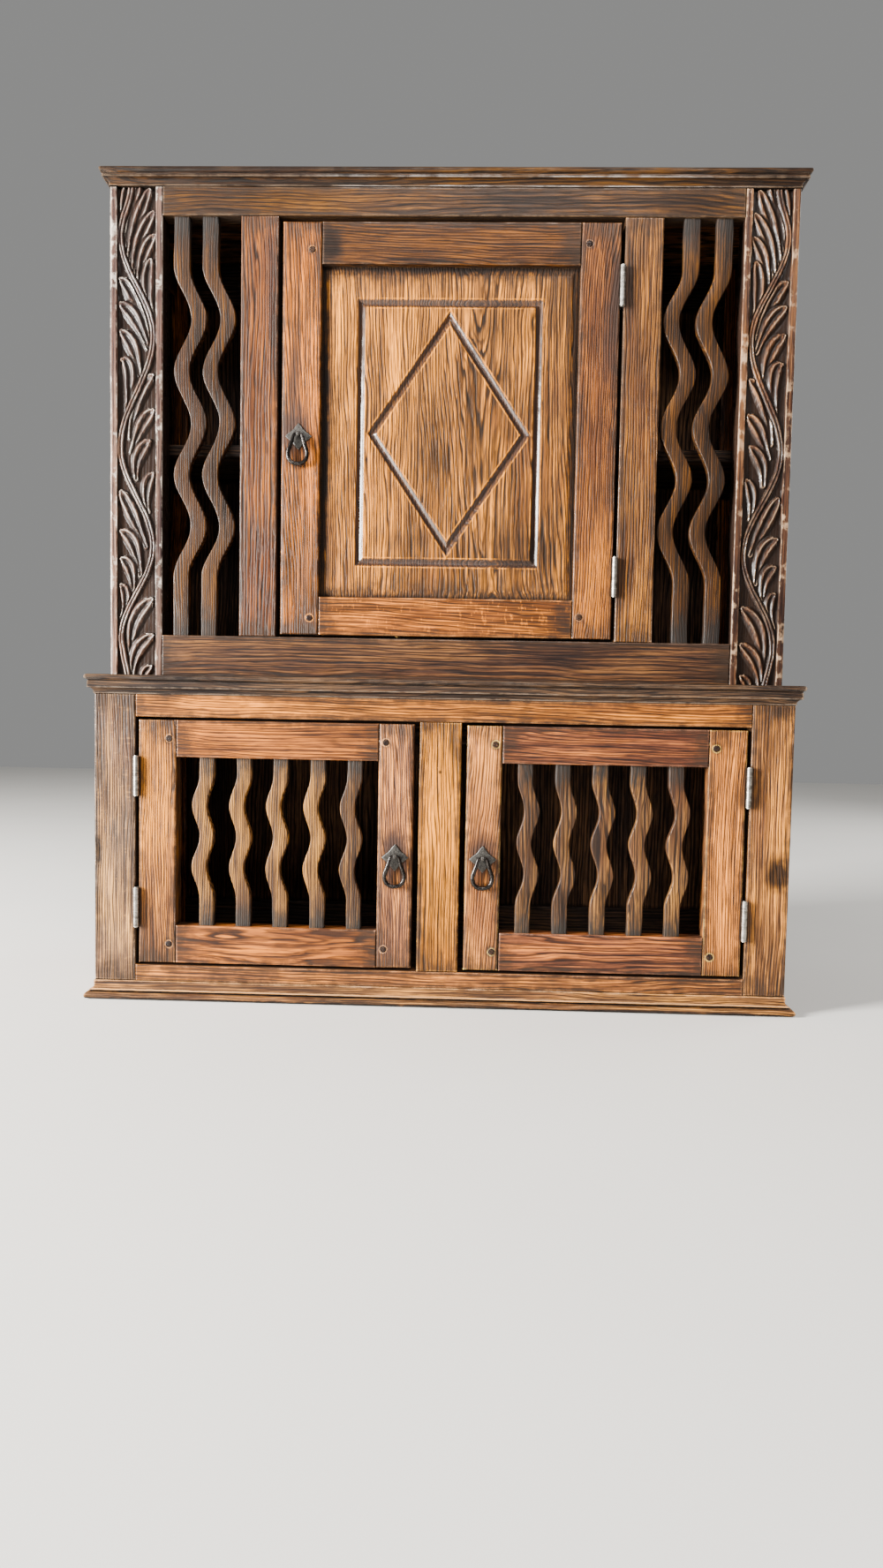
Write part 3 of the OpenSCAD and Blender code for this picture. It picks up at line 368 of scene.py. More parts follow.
    def shade_and_wax_channels(self, front):
        """Old wax and painted shade in the channels, and their paler lips, which are wear and a painted
        highlight. Returns the wax and shade.
        """
        middle_x, middle_z, width, shapes = self.look.channels
        off_x = self.apart(self.x, middle_x)
        off_z = self.apart(self.z, middle_z)
        nearest = 1.0
        for lean_x, lean_z, reach_x, reach_z in shapes:
            if lean_x:
                into = self.minus(reach_x, self.weighed((off_x, lean_x), (off_z, lean_z)))
            else:
                into = self.least(self.minus(reach_x, off_x), self.minus(reach_z, off_z))
            nearest = self.least(nearest, self.apart(into, width / 2))
        waxed = self.times(self.below(nearest, width * 0.36, width * 0.52), front)
        # Old wax and painted shade over the channels
        self.lay(waxed, 0.88, OLD_WAX_AND_SHADE)
        # Paler lips: wear and painted highlight
        lip = self.minus(self.step(nearest, width * 0.47, width * 0.55),
                         self.step(nearest, width * 0.58, width * 0.72))
        self.shaded(lip, self.times(self.times(self.patchy, front), 0.45), 1.45)
        return waxed

    def paint_grease_and_shadow(self, front):
        """Dark patches of grease, and painted shadow along the panel's edges and round the pulls. Returns
        where they are.
        """
        soiled = 0.0
        for x, z, half_w, half_h, strength in self.look.marks:
            offset = self.vector("SUBTRACT", self.place, (x * MM, 0, z * MM))
            offset = self.vector("MULTIPLY", offset, (1 / (half_w * MM), 0, 1 / (half_h * MM)))
            reach = self.ragged(self.length(offset), 0.14)
            mark = self.times(self.times(self.below(reach, 0.35, 1.15), strength), front)
            # A patch is grease, and along the panel's edges and round the pulls it is also painted shadow
            self.colour = self.mix(mark, self.colour, srgb(*self.look.smudge))
            soiled = self.math("MAXIMUM", mark, soiled)
        return soiled

    def wax_and_shade_carving(self):
        """A pale band below the crests, which is wear and a painted highlight, and black wax in the ground,
        which is also painted shade.
        """
        clean, waxed = self.look.sunk
        low = self.ragged(self.y, 0.8 * MM)
        crest = self.times(self.below(low, clean - 0.7 * MM, clean + 0.1 * MM),
                           self.step(low, clean - 1.4 * MM, clean - 1.0 * MM))
        # Pale crests: wear and painted highlight
        self.lay(crest, self.times(self.patchy, 0.5), self.look.worn)
        # Black ground: wax and painted shade
        self.lay(self.step(low, clean, waxed), 0.94, CARVING_WAX_AND_SHADE)


def oak(name, grain, tone, pith, **given):
    """Aged, waxed oak. What can be given is listed in PLAIN_LOOK."""
    look = SimpleNamespace(**{**PLAIN_LOOK, **given})
    s = Oak(name + "_oak", grain, tone, look)
    rings, heights = s.draw_figure(pith)
    coat = look.coat
    soiled = None
    if look.edges:
        s.soil_edges()
    front = s.near_front() if look.channels or look.marks else None
    if look.channels:
        coat = s.plus(s.times(s.shade_and_wax_channels(front), 0.6), coat)
    if look.marks:
        soiled = s.paint_grease_and_shadow(front)
        coat = s.times(s.minus(1.0, soiled), coat)
    if look.sunk:
        s.wax_and_shade_carving()
    # Hollows darkened by occlusion: dirt and painted shade
    pit = s.step(s.times(s.occlusion(look.hollow), s.plus(s.patchy, 0.7)), 0.10, 0.62)
    s.lay(pit, look.grime, HOLLOW_DIRT_AND_SHADE)
    # Convex edges made paler: wear, and a painted highlight on the arrises
    edge = s.step(s.times(s.occlusion(3 * MM, True), s.plus(s.patchy, 0.5)), *look.rub)
    edge = s.times(edge, s.minus(1.0, pit))
    s.lay(edge, look.wear, look.worn or worn_and_highlit(tone))
    coat = s.plus(s.times(edge, look.polish), coat)
    roughness = s.plus(s.times(s.even_noise(28, 3.0), 0.24), look.rough - 0.12)
    for value, weight in ((pit, 0.25), (rings, 0.22), (soiled, 0.35)):
        if value is not None:
            roughness = s.plus(roughness, s.times(value, weight))
    roughness = s.minus(roughness, s.times(edge, 0.12), True)
    return s.finish(Roughness=roughness, Normal=s.bumps(heights), Specular_IOR_Level=0.14, Coat_Weight=coat,
                    Coat_Roughness=0.15)


def metal(name, colour, dark, rough=0.45, metallic=0.9, bump=0.0006, size=240, seed=0.0):
    """Forged or worn metal with patches of dark scale."""
    s = Shader(name)
    place = s.vector("ADD", s.place, (seed, seed, seed))
    lumps = s.noise(place, size, 3.0, 0.6)
    scale = s.noise(place, size * 2.3, 4.0, 0.65)
    edge = s.step(s.occlusion(1.2 * MM, True), 0.15, 0.6)
    hollow = s.step(s.occlusion(6 * MM), 0.25, 0.8)
    s.colour = s.mix(s.step(scale, 0.42, 0.62), srgb(*colour), srgb(*dark))
    s.lay(edge, 0.7, [min(255, c * 1.25 + 20) for c in colour])
    # The hollows darkened by occlusion: painted shade
    s.lay(hollow, 0.7, [c * 0.4 for c in dark])
    roughness = s.plus(s.times(scale, 0.4), rough - 0.2, True)
    normal = s.bumps([(lumps, bump), (scale, bump * 0.3)])
    return s.finish(Metallic=metallic, Roughness=roughness, Normal=normal)


def floor_paint(colour):
    """Pale paint with a faint unevenness."""
    s = Shader("floor_paint")
    s.colour = s.mix(s.noise(s.place, 3.0, 3.0), srgb(*colour), srgb(*[c * 0.97 for c in colour]))
    return s.finish(Roughness=0.7)


# Meshes

def finish_object(name, node, mesh, material, body, smooth_angle=40):
    """Puts a mesh in the scene, on its body and in place of its node."""
    mesh.shade_smooth()
    mesh.set_sharp_from_angle(angle=math.radians(smooth_angle))
    mesh.materials.clear()
    mesh.materials.append(material)
    obj = bpy.data.objects.new(name, mesh)
    bpy.context.scene.collection.objects.link(obj)
    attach(obj, body)
    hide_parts(node)
    return obj


def new_object(name, node, verts, faces, material, body, smooth_angle=40):
    mesh = bpy.data.meshes.new(name)
    mesh.from_pydata(verts, [], faces)
    mesh.update()
    return finish_object(name, node, mesh, material, body, smooth_angle)


def face_outward(mesh, merge=0.0):
    """Merges points that are closer than merge, and turns all faces outward."""
    bm = bmesh.new()
    bm.from_mesh(mesh)
    if merge:
        bmesh.ops.remove_doubles(bm, verts=bm.verts, dist=merge)
    bmesh.ops.recalc_face_normals(bm, faces=bm.faces)
    bm.to_mesh(mesh)
    bm.free()


def add_tube(verts, faces, rings, joined=False):
    """A tube through rings, each of as many points: closed at both ends, or joined to its own start."""
    start = len(verts)
    count = len(rings[0])
    total = len(rings)
    for ring in rings:
        verts.extend(ring)
    for i in range(total if joined else total - 1):
        a = start + i * count
        b = start + (i + 1) % total * count
        for k in range(count):
            n = (k + 1) % count
            faces.append((a + k, a + n, b + n, b + k))
    if not joined:
        faces.append(tuple(range(start + count - 1, start - 1, -1)))
        faces.append(tuple(range(len(verts) - count, len(verts))))


def sweep(name, node, material, rings, body, joined=False, smooth_angle=50):
    verts, faces = [], []
    add_tube(verts, faces, rings, joined)
    obj = new_object(name, node, verts, faces, material, body, smooth_angle)
    face_outward(obj.data)


def turns(sides):
    """The cosine and sine of each of the angles round a circle."""
    angles = [2 * math.pi * k / sides for k in range(sides)]
    return [(math.cos(a), math.sin(a)) for a in angles]


# Boards

SIDE_WAVE = 0.35 * MM
BACK_BEVEL = 1.2 * MM
# How much wider the left arris of an upright board is worn than the others
LEFT_WEAR = 1.8


def face_of(node, x=None, z=None):
    """The node's visible face as x0, x1, z0, z1, with its x or z range replaced where it is given."""
    low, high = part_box(node)
    x = x or (low.x, high.x)
    z = z or (low.z, high.z)
    return (*x, *z)


def grid_lines(low, high, step, edge):
    """Places along one side of a grid: close together near both ends, step apart between them."""
    near = [0, 0.15, 0.4, 0.8, 1.4]
    inner = np.linspace(low + 2 * edge, high - 2 * edge, max(2, int((high - low - 4 * edge) / step) + 1))
    first = [low + edge * n for n in near]
    last = [high - edge * n for n in reversed(near)]
    return np.array(first + list(inner) + last)


def worn_front(gx, gz, face, edge, left, seed, chips):
    """How far a worn, chipped front lies behind its plane at the points of a grid."""
    x0, x1, z0, z1 = face
    nearest = np.minimum(np.minimum((gx - x0) / left, x1 - gx), np.minimum(gz - z0, z1 - gz))
    radius = edge * (1 + 0.5 * layered(gx, gz, seed * 0.11, 45 * MM, seed + 3))
    chip = chips * MM * smoothstep(0.35, 0.9, layered(gx, gz, seed * 0.23, 14 * MM, seed + 5))
    radius = radius + chip * 1.5
    inset = np.clip(1 - nearest / radius, 0, 1)
    rounding = radius * (1 - np.sqrt(np.clip(1 - inset ** 2, 0, 1)))
    return rounding + 0.12 * MM * (1 + layered(gx, gz, seed * 0.37, 30 * MM, seed))


def waved(places, others, low, high, edge, seed, turn):
    """Moves the points at both sides of a grid in, along a slow wave."""
    wave = SIDE_WAVE * (1 + layered(others, seed * turn / 10, 0, 60 * MM, seed + turn)) / 2
    return places + np.where(places - low < 2 * edge, wave, 0) - np.where(high - places < 2 * edge, wave, 0)


def pulled_in(value, middle, reach, inward):
    """Moves a point in by a bevel if it lies at a side of the board."""
    return value - math.copysign(inward, value - middle) if abs(value - middle) > reach else value


def block(name, node, material, place, face, depth=None, step=(2.5, 6), edge=1.5, seed=1, along="z",
          chips=0.8):
    """A board that faces -Y with a shaped front. place is its body, front and thickness, face its x and z
    ranges. depth says how far the front lies behind its plane at arrays x and z, in metres."""
    body, y0, thick = place
    x0, x1, z0, z1 = face
    upright = along == "z"
    edge = edge * MM
    across, length = step if upright else step[::-1]
    xs = grid_lines(x0, x1, across * MM, edge)
    zs = grid_lines(z0, z1, length * MM, edge)
    gx, gz = np.meshgrid(xs, zs, indexing="ij")
    front = worn_front(gx, gz, face, edge, LEFT_WEAR if upright else 1.0, seed, chips)
    if depth is not None:
        front = front + depth(gx, gz)
    px = waved(gx, gz, x0, x1, edge, seed, 7)
    pz = waved(gz, gx, z0, z1, edge, seed, 9)
    nx, nz = gx.shape
    verts = list(zip(px.ravel(), (y0 + front).ravel(), pz.ravel()))
    faces = [(i * nz + j, (i + 1) * nz + j, (i + 1) * nz + j + 1, i * nz + j + 1)
             for i in range(nx - 1) for j in range(nz - 1)]
    loop = [i * nz for i in range(nx)] + [(nx - 1) * nz + j for j in range(1, nz)]
    loop += [i * nz + nz - 1 for i in range(nx - 2, -1, -1)] + [j for j in range(nz - 2, 0, -1)]
    y1 = y0 + thick
    middle = Vector(((x0 + x1) / 2, 0, (z0 + z1) / 2))
    reach_x, reach_z = (x1 - x0) / 2 - 2 * edge, (z1 - z0) / 2 - 2 * edge
    for y, inward in ((y1 - BACK_BEVEL, 0), (y1, BACK_BEVEL)):
        ring = list(range(len(verts), len(verts) + len(loop)))
        for index in loop:
            vx, _, vz = verts[index]
            vx = pulled_in(vx, middle.x, reach_x, inward)
            verts.append((vx, y, pulled_in(vz, middle.z, reach_z, inward)))
        for k in range(len(loop)):
            n = (k + 1) % len(loop)
            faces.append((loop[n], loop[k], ring[k], ring[n]))
        loop = ring
    faces.append(tuple(loop))
    new_object(name, node, verts, faces, material, body)


def board(name, node, place, material, x=None, z=None, **shape):
    block(name + "_board", node, material, place, face_of(node, x, z), **shape)


def plank(node, place, tone, pith, look, x=None, z=None, along="z", **shape):
    """A board of its own wood, which is soiled along its edges."""
    wood = oak(node, along, tone, pith, edges=face_of(node, x, z), **look)
    board(node, node, place, wood, x, z, along=along, **shape)


def worn_copy(node, material):
    """The CAD solid again, with worn edges and cut every 14 mm so that its faces can wave."""
    bm = bmesh.new()
    bm.from_mesh(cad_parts[node].data)
    bmesh.ops.remove_doubles(bm, verts=bm.verts, dist=1e-5)
    bmesh.ops.dissolve_limit(bm, angle_limit=math.radians(0.5), verts=bm.verts, edges=bm.edges)
    sharp = [e for e in bm.edges if len(e.link_faces) == 2 and e.calc_face_angle_signed() > math.radians(50)
             and e.calc_length() > 8 * MM]
    bmesh.ops.bevel(bm, geom=sharp, offset=1.2 * MM, segments=2, profile=0.5, affect="EDGES",
                    clamp_overlap=True)
    low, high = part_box(node)
    size = high - low
    axis = max(range(3), key=lambda i: size[i])
    normal = Vector([1 if i == axis else 0 for i in range(3)])
    count = int(size[axis] / (14 * MM))
    for i in range(1, count):
        place = low + normal * (size[axis] * i / count)
        geometry = list(bm.verts) + list(bm.edges) + list(bm.faces)
        bmesh.ops.bisect_plane(bm, geom=geometry, plane_co=place, plane_no=normal, dist=1e-6)
    mesh = bpy.data.meshes.new(node + "_worn")
    bm.to_mesh(mesh)
    bm.free()
    co = np.zeros(len(mesh.vertices) * 3)
    mesh.vertices.foreach_get("co", co)
    co = co.reshape(-1, 3)
    inward = np.array(low + high) / 2 - co
    inward /= np.maximum(np.linalg.norm(inward, axis=1, keepdims=True), 1e-6)
    amount = SIDE_WAVE * (1 + layered(co[:, 0], co[:, 1], co[:, 2], 40 * MM, len(node))) / 2
    co += inward * amount[:, None]
    mesh.vertices.foreach_set("co", co.ravel())
    mesh.update()
    finish_object(node + "_worn", node, mesh, material, "case", 30)


# Slats

SLAT_THICK = 11 * MM
# How deep a slat's ends lie in the rails, and how far the slats stand behind the front
SLAT_HOUSED = 7 * MM
SLAT_BACK = 3.5 * MM


def rounded_outline(half_w, half_t, radius):
    """A rectangle with round corners, as a list of points round its middle."""
    points = []
    for sx, sy, start in ((1, 1, 0), (-1, 1, 90), (-1, -1, 180), (1, -1, 270)):
        for i in range(4):
            a = math.radians(start + 30 * i)
            points.append((sx * (half_w - radius) + radius * math.cos(a),
                           sy * (half_t - radius) + radius * math.sin(a)))
    return points


def slat_ring(z, ends, mid, y_mid, width, wave, lean, index, seed):
    """The outline of one slat at height z. wave is the straight length at each end, half a wave's length,
    the swing to each side and how much more the far side has."""
    z0, z1 = ends
    straight, half, swing, extra = wave
    t = (z1 - straight - z) / half
    waving = 0 < t < round((z1 - z0 - 2 * straight) / half)
    turn = (1 - math.cos(math.pi * t)) / 2 if waving else 0
    slope = -swing * math.pi / half * math.sin(math.pi * t) if waving else 0
    held = min(1, max(0, min(z - z0, z1 - z) / (20 * MM)))
    x = mid + swing - (2 * swing + math.copysign(extra, swing)) * turn
    x += held * (lean + 0.9 * MM * noise_at(mid, z, seed, 60 * MM, seed + index))
    w = width / 2 * (1 + held * 0.07 * noise_at(z, mid, seed, 35 * MM, seed + 20 + index))
    w = w / math.sqrt(1 + 0.35 * slope * slope) * (1 + 0.02 * held)
    thick = SLAT_THICK / 2 * (1 - 0.05 * held * (1 + noise_at(z, seed, mid, 50 * MM, seed + 40)))
    radius = 1.5 * MM * (1 + 0.4 * noise_at(z, mid, 0, 20 * MM, seed + 60 + index))
    return [(x + px, y_mid + py, z) for px, py in rounded_outline(w, thick, radius)]


def slats(node, material, body, face, mids, width, ends, wave, seed):
    """Waved slats between two rails, whose inner edges are at the heights ends."""
    verts, faces = [], []
    low = ends[0] - SLAT_HOUSED
    length = ends[1] - ends[0] + 2 * SLAT_HOUSED
    count = int(length / (3 * MM))
    y_mid = face + SLAT_BACK + SLAT_THICK / 2
    for index, mid in enumerate(mids):
        lean = 0.6 * MM * noise_at(index * 1.3, seed, 0, 1, seed)
        rings = []
        for i in range(count + 1):
            z = low + length * i / count
            rings.append(slat_ring(z, ends, mid, y_mid, width, wave, lean, index, seed))
        add_tube(verts, faces, rings)
    new_object(node + "_worn", node, verts, faces, material, body, 60)


# Mouldings, as outlines in millimetres: how far they stand out, and their height

def arc(cx, cz, r, a0, a1, n=6):
    angles = [math.radians(a0 + (a1 - a0) * i / n) for i in range(n + 1)]
    return [(cx + r * math.cos(a), cz + r * math.sin(a)) for a in angles]


CROWN = [(-16, 0), (1, 0)] + arc(7, 2, 6, 180, 90) + [(8, 8), (8, 11.2), (7.2, 11.6), (7.2, 12.6)] + arc(
    7.4, 16.5, 3.4, -80, 80, 8) + [(6, 20), (-16, 20)]
WAIST = [(-16, 0), (1, 0)] + arc(6, 2, 5, 180, 90) + [(7, 7.2), (7, 15), (6.2, 15.6), (6.2, 16.4)] + arc(
    6.6, 20.5, 3.4, -80, 80, 8) + [(5, 24), (-16, 24)]
BASE = [(-16, 0), (5, 0)] + arc(6.7, 4.3, 4.3, -80, 80, 8) + [(2.4, 8.8), (2.4, 11.0)] + arc(
    6.0, 16.1, 5, -90, -180) + [(1.0, 22.2), (0.5, 23), (-16, 23)]


def in_own_mitre(side, t, out, x, px, py, y_face):
    """Keeps a point of one side of a moulding on its own side of the mitre. out is in millimetres."""
    if side == 1:
        limit = HALF_W + out * MM
        px = max(-limit, min(limit, px))
        if t < 0.02 or t > 0.98:
            px = math.copysign(limit - 0.5 * MM, x)
    elif (side == 0 and t > 0.98) or (side == 2 and t < 0.02):
        py = y_face - out * MM + 0.5 * MM
    return px, py


def moulding_wear(px, py, out, high, top, mitre, seed):
    """How much a point of a moulding is worn down, in millimetres."""
    if out <= 0:
        return 0.0
    bite = noise_at(px, py, 0, 16 * MM, seed + 4)
    wear = 0.22 + 0.22 * noise_at(px, py, high * 0.3, 45 * MM, seed)
    wear += max(0, bite - 0.55) * 2.2 * (1 if high > top * 0.55 else 0.4)
    return wear + (0.55 if mitre else 0)


def moulding(name, node, material, outline, y_face):
    """A moulding round the front and both sides, mitred at the corners."""
    y_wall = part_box("upper_back_rails")[1].y
    z0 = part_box(node)[0].z
    seed = len(name)
    corners = ((-HALF_W, y_wall), (-HALF_W, y_face), (HALF_W, y_face), (HALF_W, y_wall))
    outward = ((-1, 0), (-1, -1), (1, -1), (1, 0))
    rings = []
    for side, plain_out in enumerate(((-1, 0), (0, -1), (1, 0))):
        (ax, ay), (bx, by) = corners[side], corners[side + 1]
        length = math.hypot(bx - ax, by - ay)
        count = max(2, int(length / (6 * MM)))
        near = 0.5 * MM / length
        first = [] if side else [0.0]
        for t in first + [near] + [k / count for k in range(1, count)] + [1 - near, 1.0]:
            x, y = ax + (bx - ax) * t, ay + (by - ay) * t
            aside = outward[0] if t == 0.0 else outward[side + 1] if t == 1.0 else plain_out
            mitre = side < 2 and t == 1.0
            ring = []
            for out, high in outline:
                px, py = x + aside[0] * out * MM, y + aside[1] * out * MM
                if aside == plain_out:
                    px, py = in_own_mitre(side, t, out, x, px, py, y_face)
                wear = moulding_wear(px, py, out, high, outline[-1][1], mitre, seed) * MM
                wear /= math.hypot(*aside)
                ring.append((px - aside[0] * wear, min(py - aside[1] * wear, y_wall), z0 + high * MM))
            rings.append(ring)
    sweep(name, node, material, rings, "case", smooth_angle=32)


# Carving, in millimetres: x across the field from its middle, and heights above the floor

BORDER = 8.6
LEAF_SPREAD = 1.09
GROUND = 5.0
STEM = ((1050, -7), (985, -20), (858, 19.5), (716, -20), (587, 19.5), (468, -19), (408, -11))
# Each leaf's root, bow and tip, its width and how far it rises
LEAVES = (
    ((-18, 999), (-17, 1024), (-9, 1056), 9, 3.2), ((-16, 970), (-9, 1015), (3, 1053), 10, 3.6),
    ((-11, 953), (-3, 998), (15, 1042), 11, 3.8), ((-5, 934), (-1, 982), (20, 1014), 11, 4.0),
    ((2, 926), (6, 966), (21, 985), 11, 4.0), ((18, 878), (8, 923), (16.5, 954), 11, 3.8),
    ((14, 853), (-2, 915), (-19, 930), 12, 3.9), ((13, 843), (-2, 889), (-18.5, 899), 12, 4.0),
    ((3, 808), (-1.5, 849), (-18, 864), 12, 4.0), ((-14, 741), (-2, 828), (-17, 828), 11, 3.8),
    ((-8, 728), (-3, 791), (18.5, 808), 12, 4.0), ((-6, 710), (6, 752), (19.5, 763), 12, 4.0),
    ((-1, 675), (-3, 708), (15, 724), 11, 3.8), ((13, 632), (8, 668), (19.5, 682), 10, 3.8),
    ((11, 587), (-4, 628), (-18.5, 658), 12, 4.0), ((4, 550), (1, 598), (-18, 607), 12, 4.0),
    ((-5, 531), (-5, 566), (-18, 571), 11, 3.8), ((-19, 494), (-8, 524), (-18.5, 537), 9, 3.6),
    ((-7, 446), (-10, 496), (18, 518), 13, 4.0), ((-6, 418), (-5, 456), (18.5, 471), 12, 4.0),
    ((6, 408), (8, 424), (17, 430), 9, 3.6))


def bezier(a, b, c, n=14):
    t = np.linspace(0, 1, n + 1)[:, None]
    return a * (1 - t) ** 2 + b * 2 * t * (1 - t) + c * t ** 2


def near_line(points, line):
    """Distance of each point to a line of points, and how far along it the nearest place is, from 0 to 1."""
    best = np.full(len(points), 1e9)
    share = np.zeros(len(points))
    for i in range(len(line) - 1):
        a, b = line[i], line[i + 1]
        d = b - a
        t = np.clip(((points - a) @ d) / (d @ d), 0, 1)
        gap = np.hypot(*(points - a - t[:, None] * d).T)
        closer = gap < best
        best = np.where(closer, gap, best)
        share = np.where(closer, (i + t) / (len(line) - 1), share)
    return best, share


def stem_place(z):
    """Place of the stem across the field at heights z."""
    z_bend, x_bend = np.array(STEM[::-1]).T
    i = np.clip(np.searchsorted(z_bend, z) - 1, 0, len(z_bend) - 2)
    t = np.clip((z - z_bend[i]) / (z_bend[i + 1] - z_bend[i]), 0, 1)
    return x_bend[i] + (x_bend[i + 1] - x_bend[i]) * (1 - np.cos(np.pi * t)) / 2


def add_leaf(height, points, leaf):
    """Raises one leaf, with two rounded lobes and a blunt tip, and sinks the ground round it."""
    root, bow, tip, width, rise = leaf
    line = bezier(*(np.array(p, float) for p in (root, bow, tip)))
    low = line.min(axis=0) - 1.2 * width
    high = line.max(axis=0) + 1.2 * width
    inside = np.all((points > low) & (points < high), axis=1)
    gap, share = near_line(points[inside], line)
    taper = 0.42 + 0.58 * smoothstep(0.0, 0.60, share)
    half = 0.78 * width * taper * np.sqrt(np.clip(1.12 - share ** 6, 0.05, 1))
    u = gap / half
    lobe = np.exp(-((u - 0.54) / 0.31) ** 2)
    blunt = smoothstep(0.84, 0.98, share)
    body = 0.20 + 0.80 * np.maximum(lobe, 0.7 * blunt)
    body = np.where(u > 1.0, body * np.clip(1 - (u - 1.0) / 0.16, 0, 1), body)
    top = rise * (0.72 + 0.28 * smoothstep(0.1, 0.6, share)) * body
    here = height[inside]
    groove = here * (0.25 + 0.75 * smoothstep(1.1, 1.5, u))
    here = np.where((u > 0.98) & (u < 1.5), np.maximum(top, groove), here)
    height[inside] = np.where(u <= 0.98, np.maximum(top, here * 0.3), here)


def with_stem(height, points, seed):
    """The carving with its stem, which has a hollow along its middle."""
    zs = np.linspace(STEM[-1][0], STEM[0][0], 260)
    gap, _ = near_line(points, np.stack([stem_place(zs), zs], axis=1))
    u = gap / (3.7 + 0.6 * layered(points[:, 1], seed, 0, 40, seed + 6))
    body = np.sqrt(np.clip(1 - (u / 1.05) ** 2, 0, 1)) * (1 - 0.45 * np.exp(-(u / 0.30) ** 2))
    beside = height * (0.15 + 0.85 * smoothstep(1.05, 1.45, u))
    return np.where(u < 1.05, np.maximum(3.9 * body, 0.4), beside)


def carve(x, z, seed):
    """Height of the carving above its ground, at x across the field and height z."""
    points = np.stack([x.ravel(), z.ravel()], axis=1)
    points[:, 0] += 0.5 * layered(points[:, 0], points[:, 1], seed, 18, seed)
    height = 0.30 + 0.20 * layered(points[:, 0], points[:, 1], 0, 7, seed + 1)
    for leaf in LEAVES:
        add_leaf(height, points, leaf)
    height = with_stem(height, points, seed)
    height = height + 0.05 * layered(points[:, 0], points[:, 1], 0, 5, seed + 9)
    return height.reshape(x.shape)


def carved_depth(mirror):
    """The front of a carved post: a plain border round the sunk field."""
    seed = 40 + mirror
    middle = (HALF_W + UPPER_IN) / 2
    half = (HALF_W - UPPER_IN) / 2 / MM - BORDER

    def depth(x, z):
        across = (x - mirror * middle) / MM * -mirror
        high = z / MM
        left = 0.8 * layered(high, seed, 0, 22, seed + 30) - half
        right = half + 0.8 * layered(high, seed, 5, 22, seed + 31)
        inside = smoothstep(0.0, 1.1, np.minimum(across - left, right - across))
        relief = GROUND - carve(across / LEAF_SPREAD, high, seed)
        worn = 0.5 * smoothstep(0.1, 0.8, layered(across, high, seed, 12, seed + 33))
        return (inside * relief + (1 - inside) * worn) * MM
    return depth


# The carving's pale worn tone is wear and painted highlight; its ground is darkened with wax and painted
# shade
CARVED = dict(lines=160, grime=0.9, stain=0.5, hollow=0.005, polish=1.0, rough=0.28, relief=0.2, figure=0.5,
              rub=(0.26, 0.62), sunk=(FACE_UP + 1.7 * MM, FACE_UP + 3.5 * MM))
for side, mirror, tone, look in (
        ("left", -1, (96, 73, 60), dict(seed=9.0, wear=0.65, worn=(236, 222, 206))),
        ("right", 1, (84, 55, 37), dict(seed=10.0, wear=0.5, worn=(198, 164, 130)))):
    node = "carved_post_" + side
    material = oak(node, "z", tone, (mirror * 0.60, 0.0), **CARVED, **look)
    block(node + "_relief", node, material, ("case", FACE_UP, CARVED_T), face_of(node),
          depth=carved_depth(mirror), step=(0.8, 1.05), edge=1.6, seed=50 + mirror)


# The boards of the two front frames. Each has its own tone, pith, figure and marks

CASE_UP = ("case", FACE_UP, FRAME_T)
CASE_LOW = ("case", FACE_LOW, FRAME_T)
LOWER_POST = ("case", FACE_LOW, POST_T)


def knot(cx, cz, rx, rz, low):
    """A hollow round a knot or a chipped place, in millimetres."""
    def depth(x, z):
        reach = np.hypot((x / MM - cx) / rx, (z / MM - cz) / rz) + 0.25 * layered(x, z, cx, 6 * MM, 61)
        return low * MM * (1 - smoothstep(0.2, 1.0, reach)) * (0.7 + 0.3 * layered(x, z, 0, 3 * MM, 62))
    return depth


plank("frieze_rail", CASE_UP, (75, 46, 18), (0.90, 0.03),
      dict(seed=7.0, lines=180, marks=((-300, 1024, 60, 20, 0.4), (300, 1024, 60, 22, 0.5))),
      x=UPPER_X, along="x", edge=1.2, seed=3)
plank("upper_bottom_rail", CASE_UP, (84, 55, 35), (0.30, 0.02), dict(seed=8.0, wear=0.35),
      x=UPPER_X, along="x", edge=1.3, seed=4)
plank("lower_top_rail", CASE_LOW, (175, 102, 31), (0.30, -0.10),
      dict(seed=11.0, lines=170, tilt=(0.02, 0.01), marks=((-360, 380, 30, 14, 0.5),)),
      x=LOWER_X, along="x", edge=1.3, seed=5)
plank("lower_bottom_rail", CASE_LOW, (170, 102, 46), (0.10, -0.1), dict(seed=12.0, lines=170),
      x=LOWER_X, along="x", edge=1.3, seed=6)
plank("upper_muntin_left", CASE_UP, (107, 60, 28), (-0.50, 0.04), dict(seed=5.0, lines=180),
      z=UPPER_Z, seed=7)
plank("upper_muntin_right", CASE_UP, (125, 78, 34), (0.40, -0.02), dict(seed=6.0, lines=190),
      z=UPPER_Z, seed=8)
plank("lower_muntin", CASE_LOW, (198, 121, 15), (0.25, -0.06),
      dict(seed=13.0, lines=170, stain=0.25, marks=((-24, 200, 5, 190, 0.35), (0, 300, 3, 3, 0.9))),
      z=LOWER_Z, seed=9)
plank("lower_post_left", LOWER_POST, (147, 106, 65), (-0.30, -0.10),
      dict(seed=14.0, lines=200, grey=0.08, stain=0.7, fleck=0.25,
           marks=((-438, 190, 9, 26, 0.85), (-415, 45, 30, 16, 0.3))),
      seed=10, chips=1.6, depth=knot(-438, 190, 8, 22, 2.6))
plank("lower_post_right", LOWER_POST, (184, 118, 53), (0.30, -0.10),
      dict(seed=15.0, lines=210, marks=((427, 180, 23, 28, 0.95), (430, 390, 26, 20, 0.5))),
      seed=11, chips=1.2, depth=knot(426, 180, 10, 15, 1.2))


# The doors

GREASE_AND_SHADOW = (47, 34, 29)


def ringed(*places):
    """Dark rings of wax round the pegs of a stile."""
    return tuple((x, z, 8.5, 8.5, 1.0) for x, z in places)
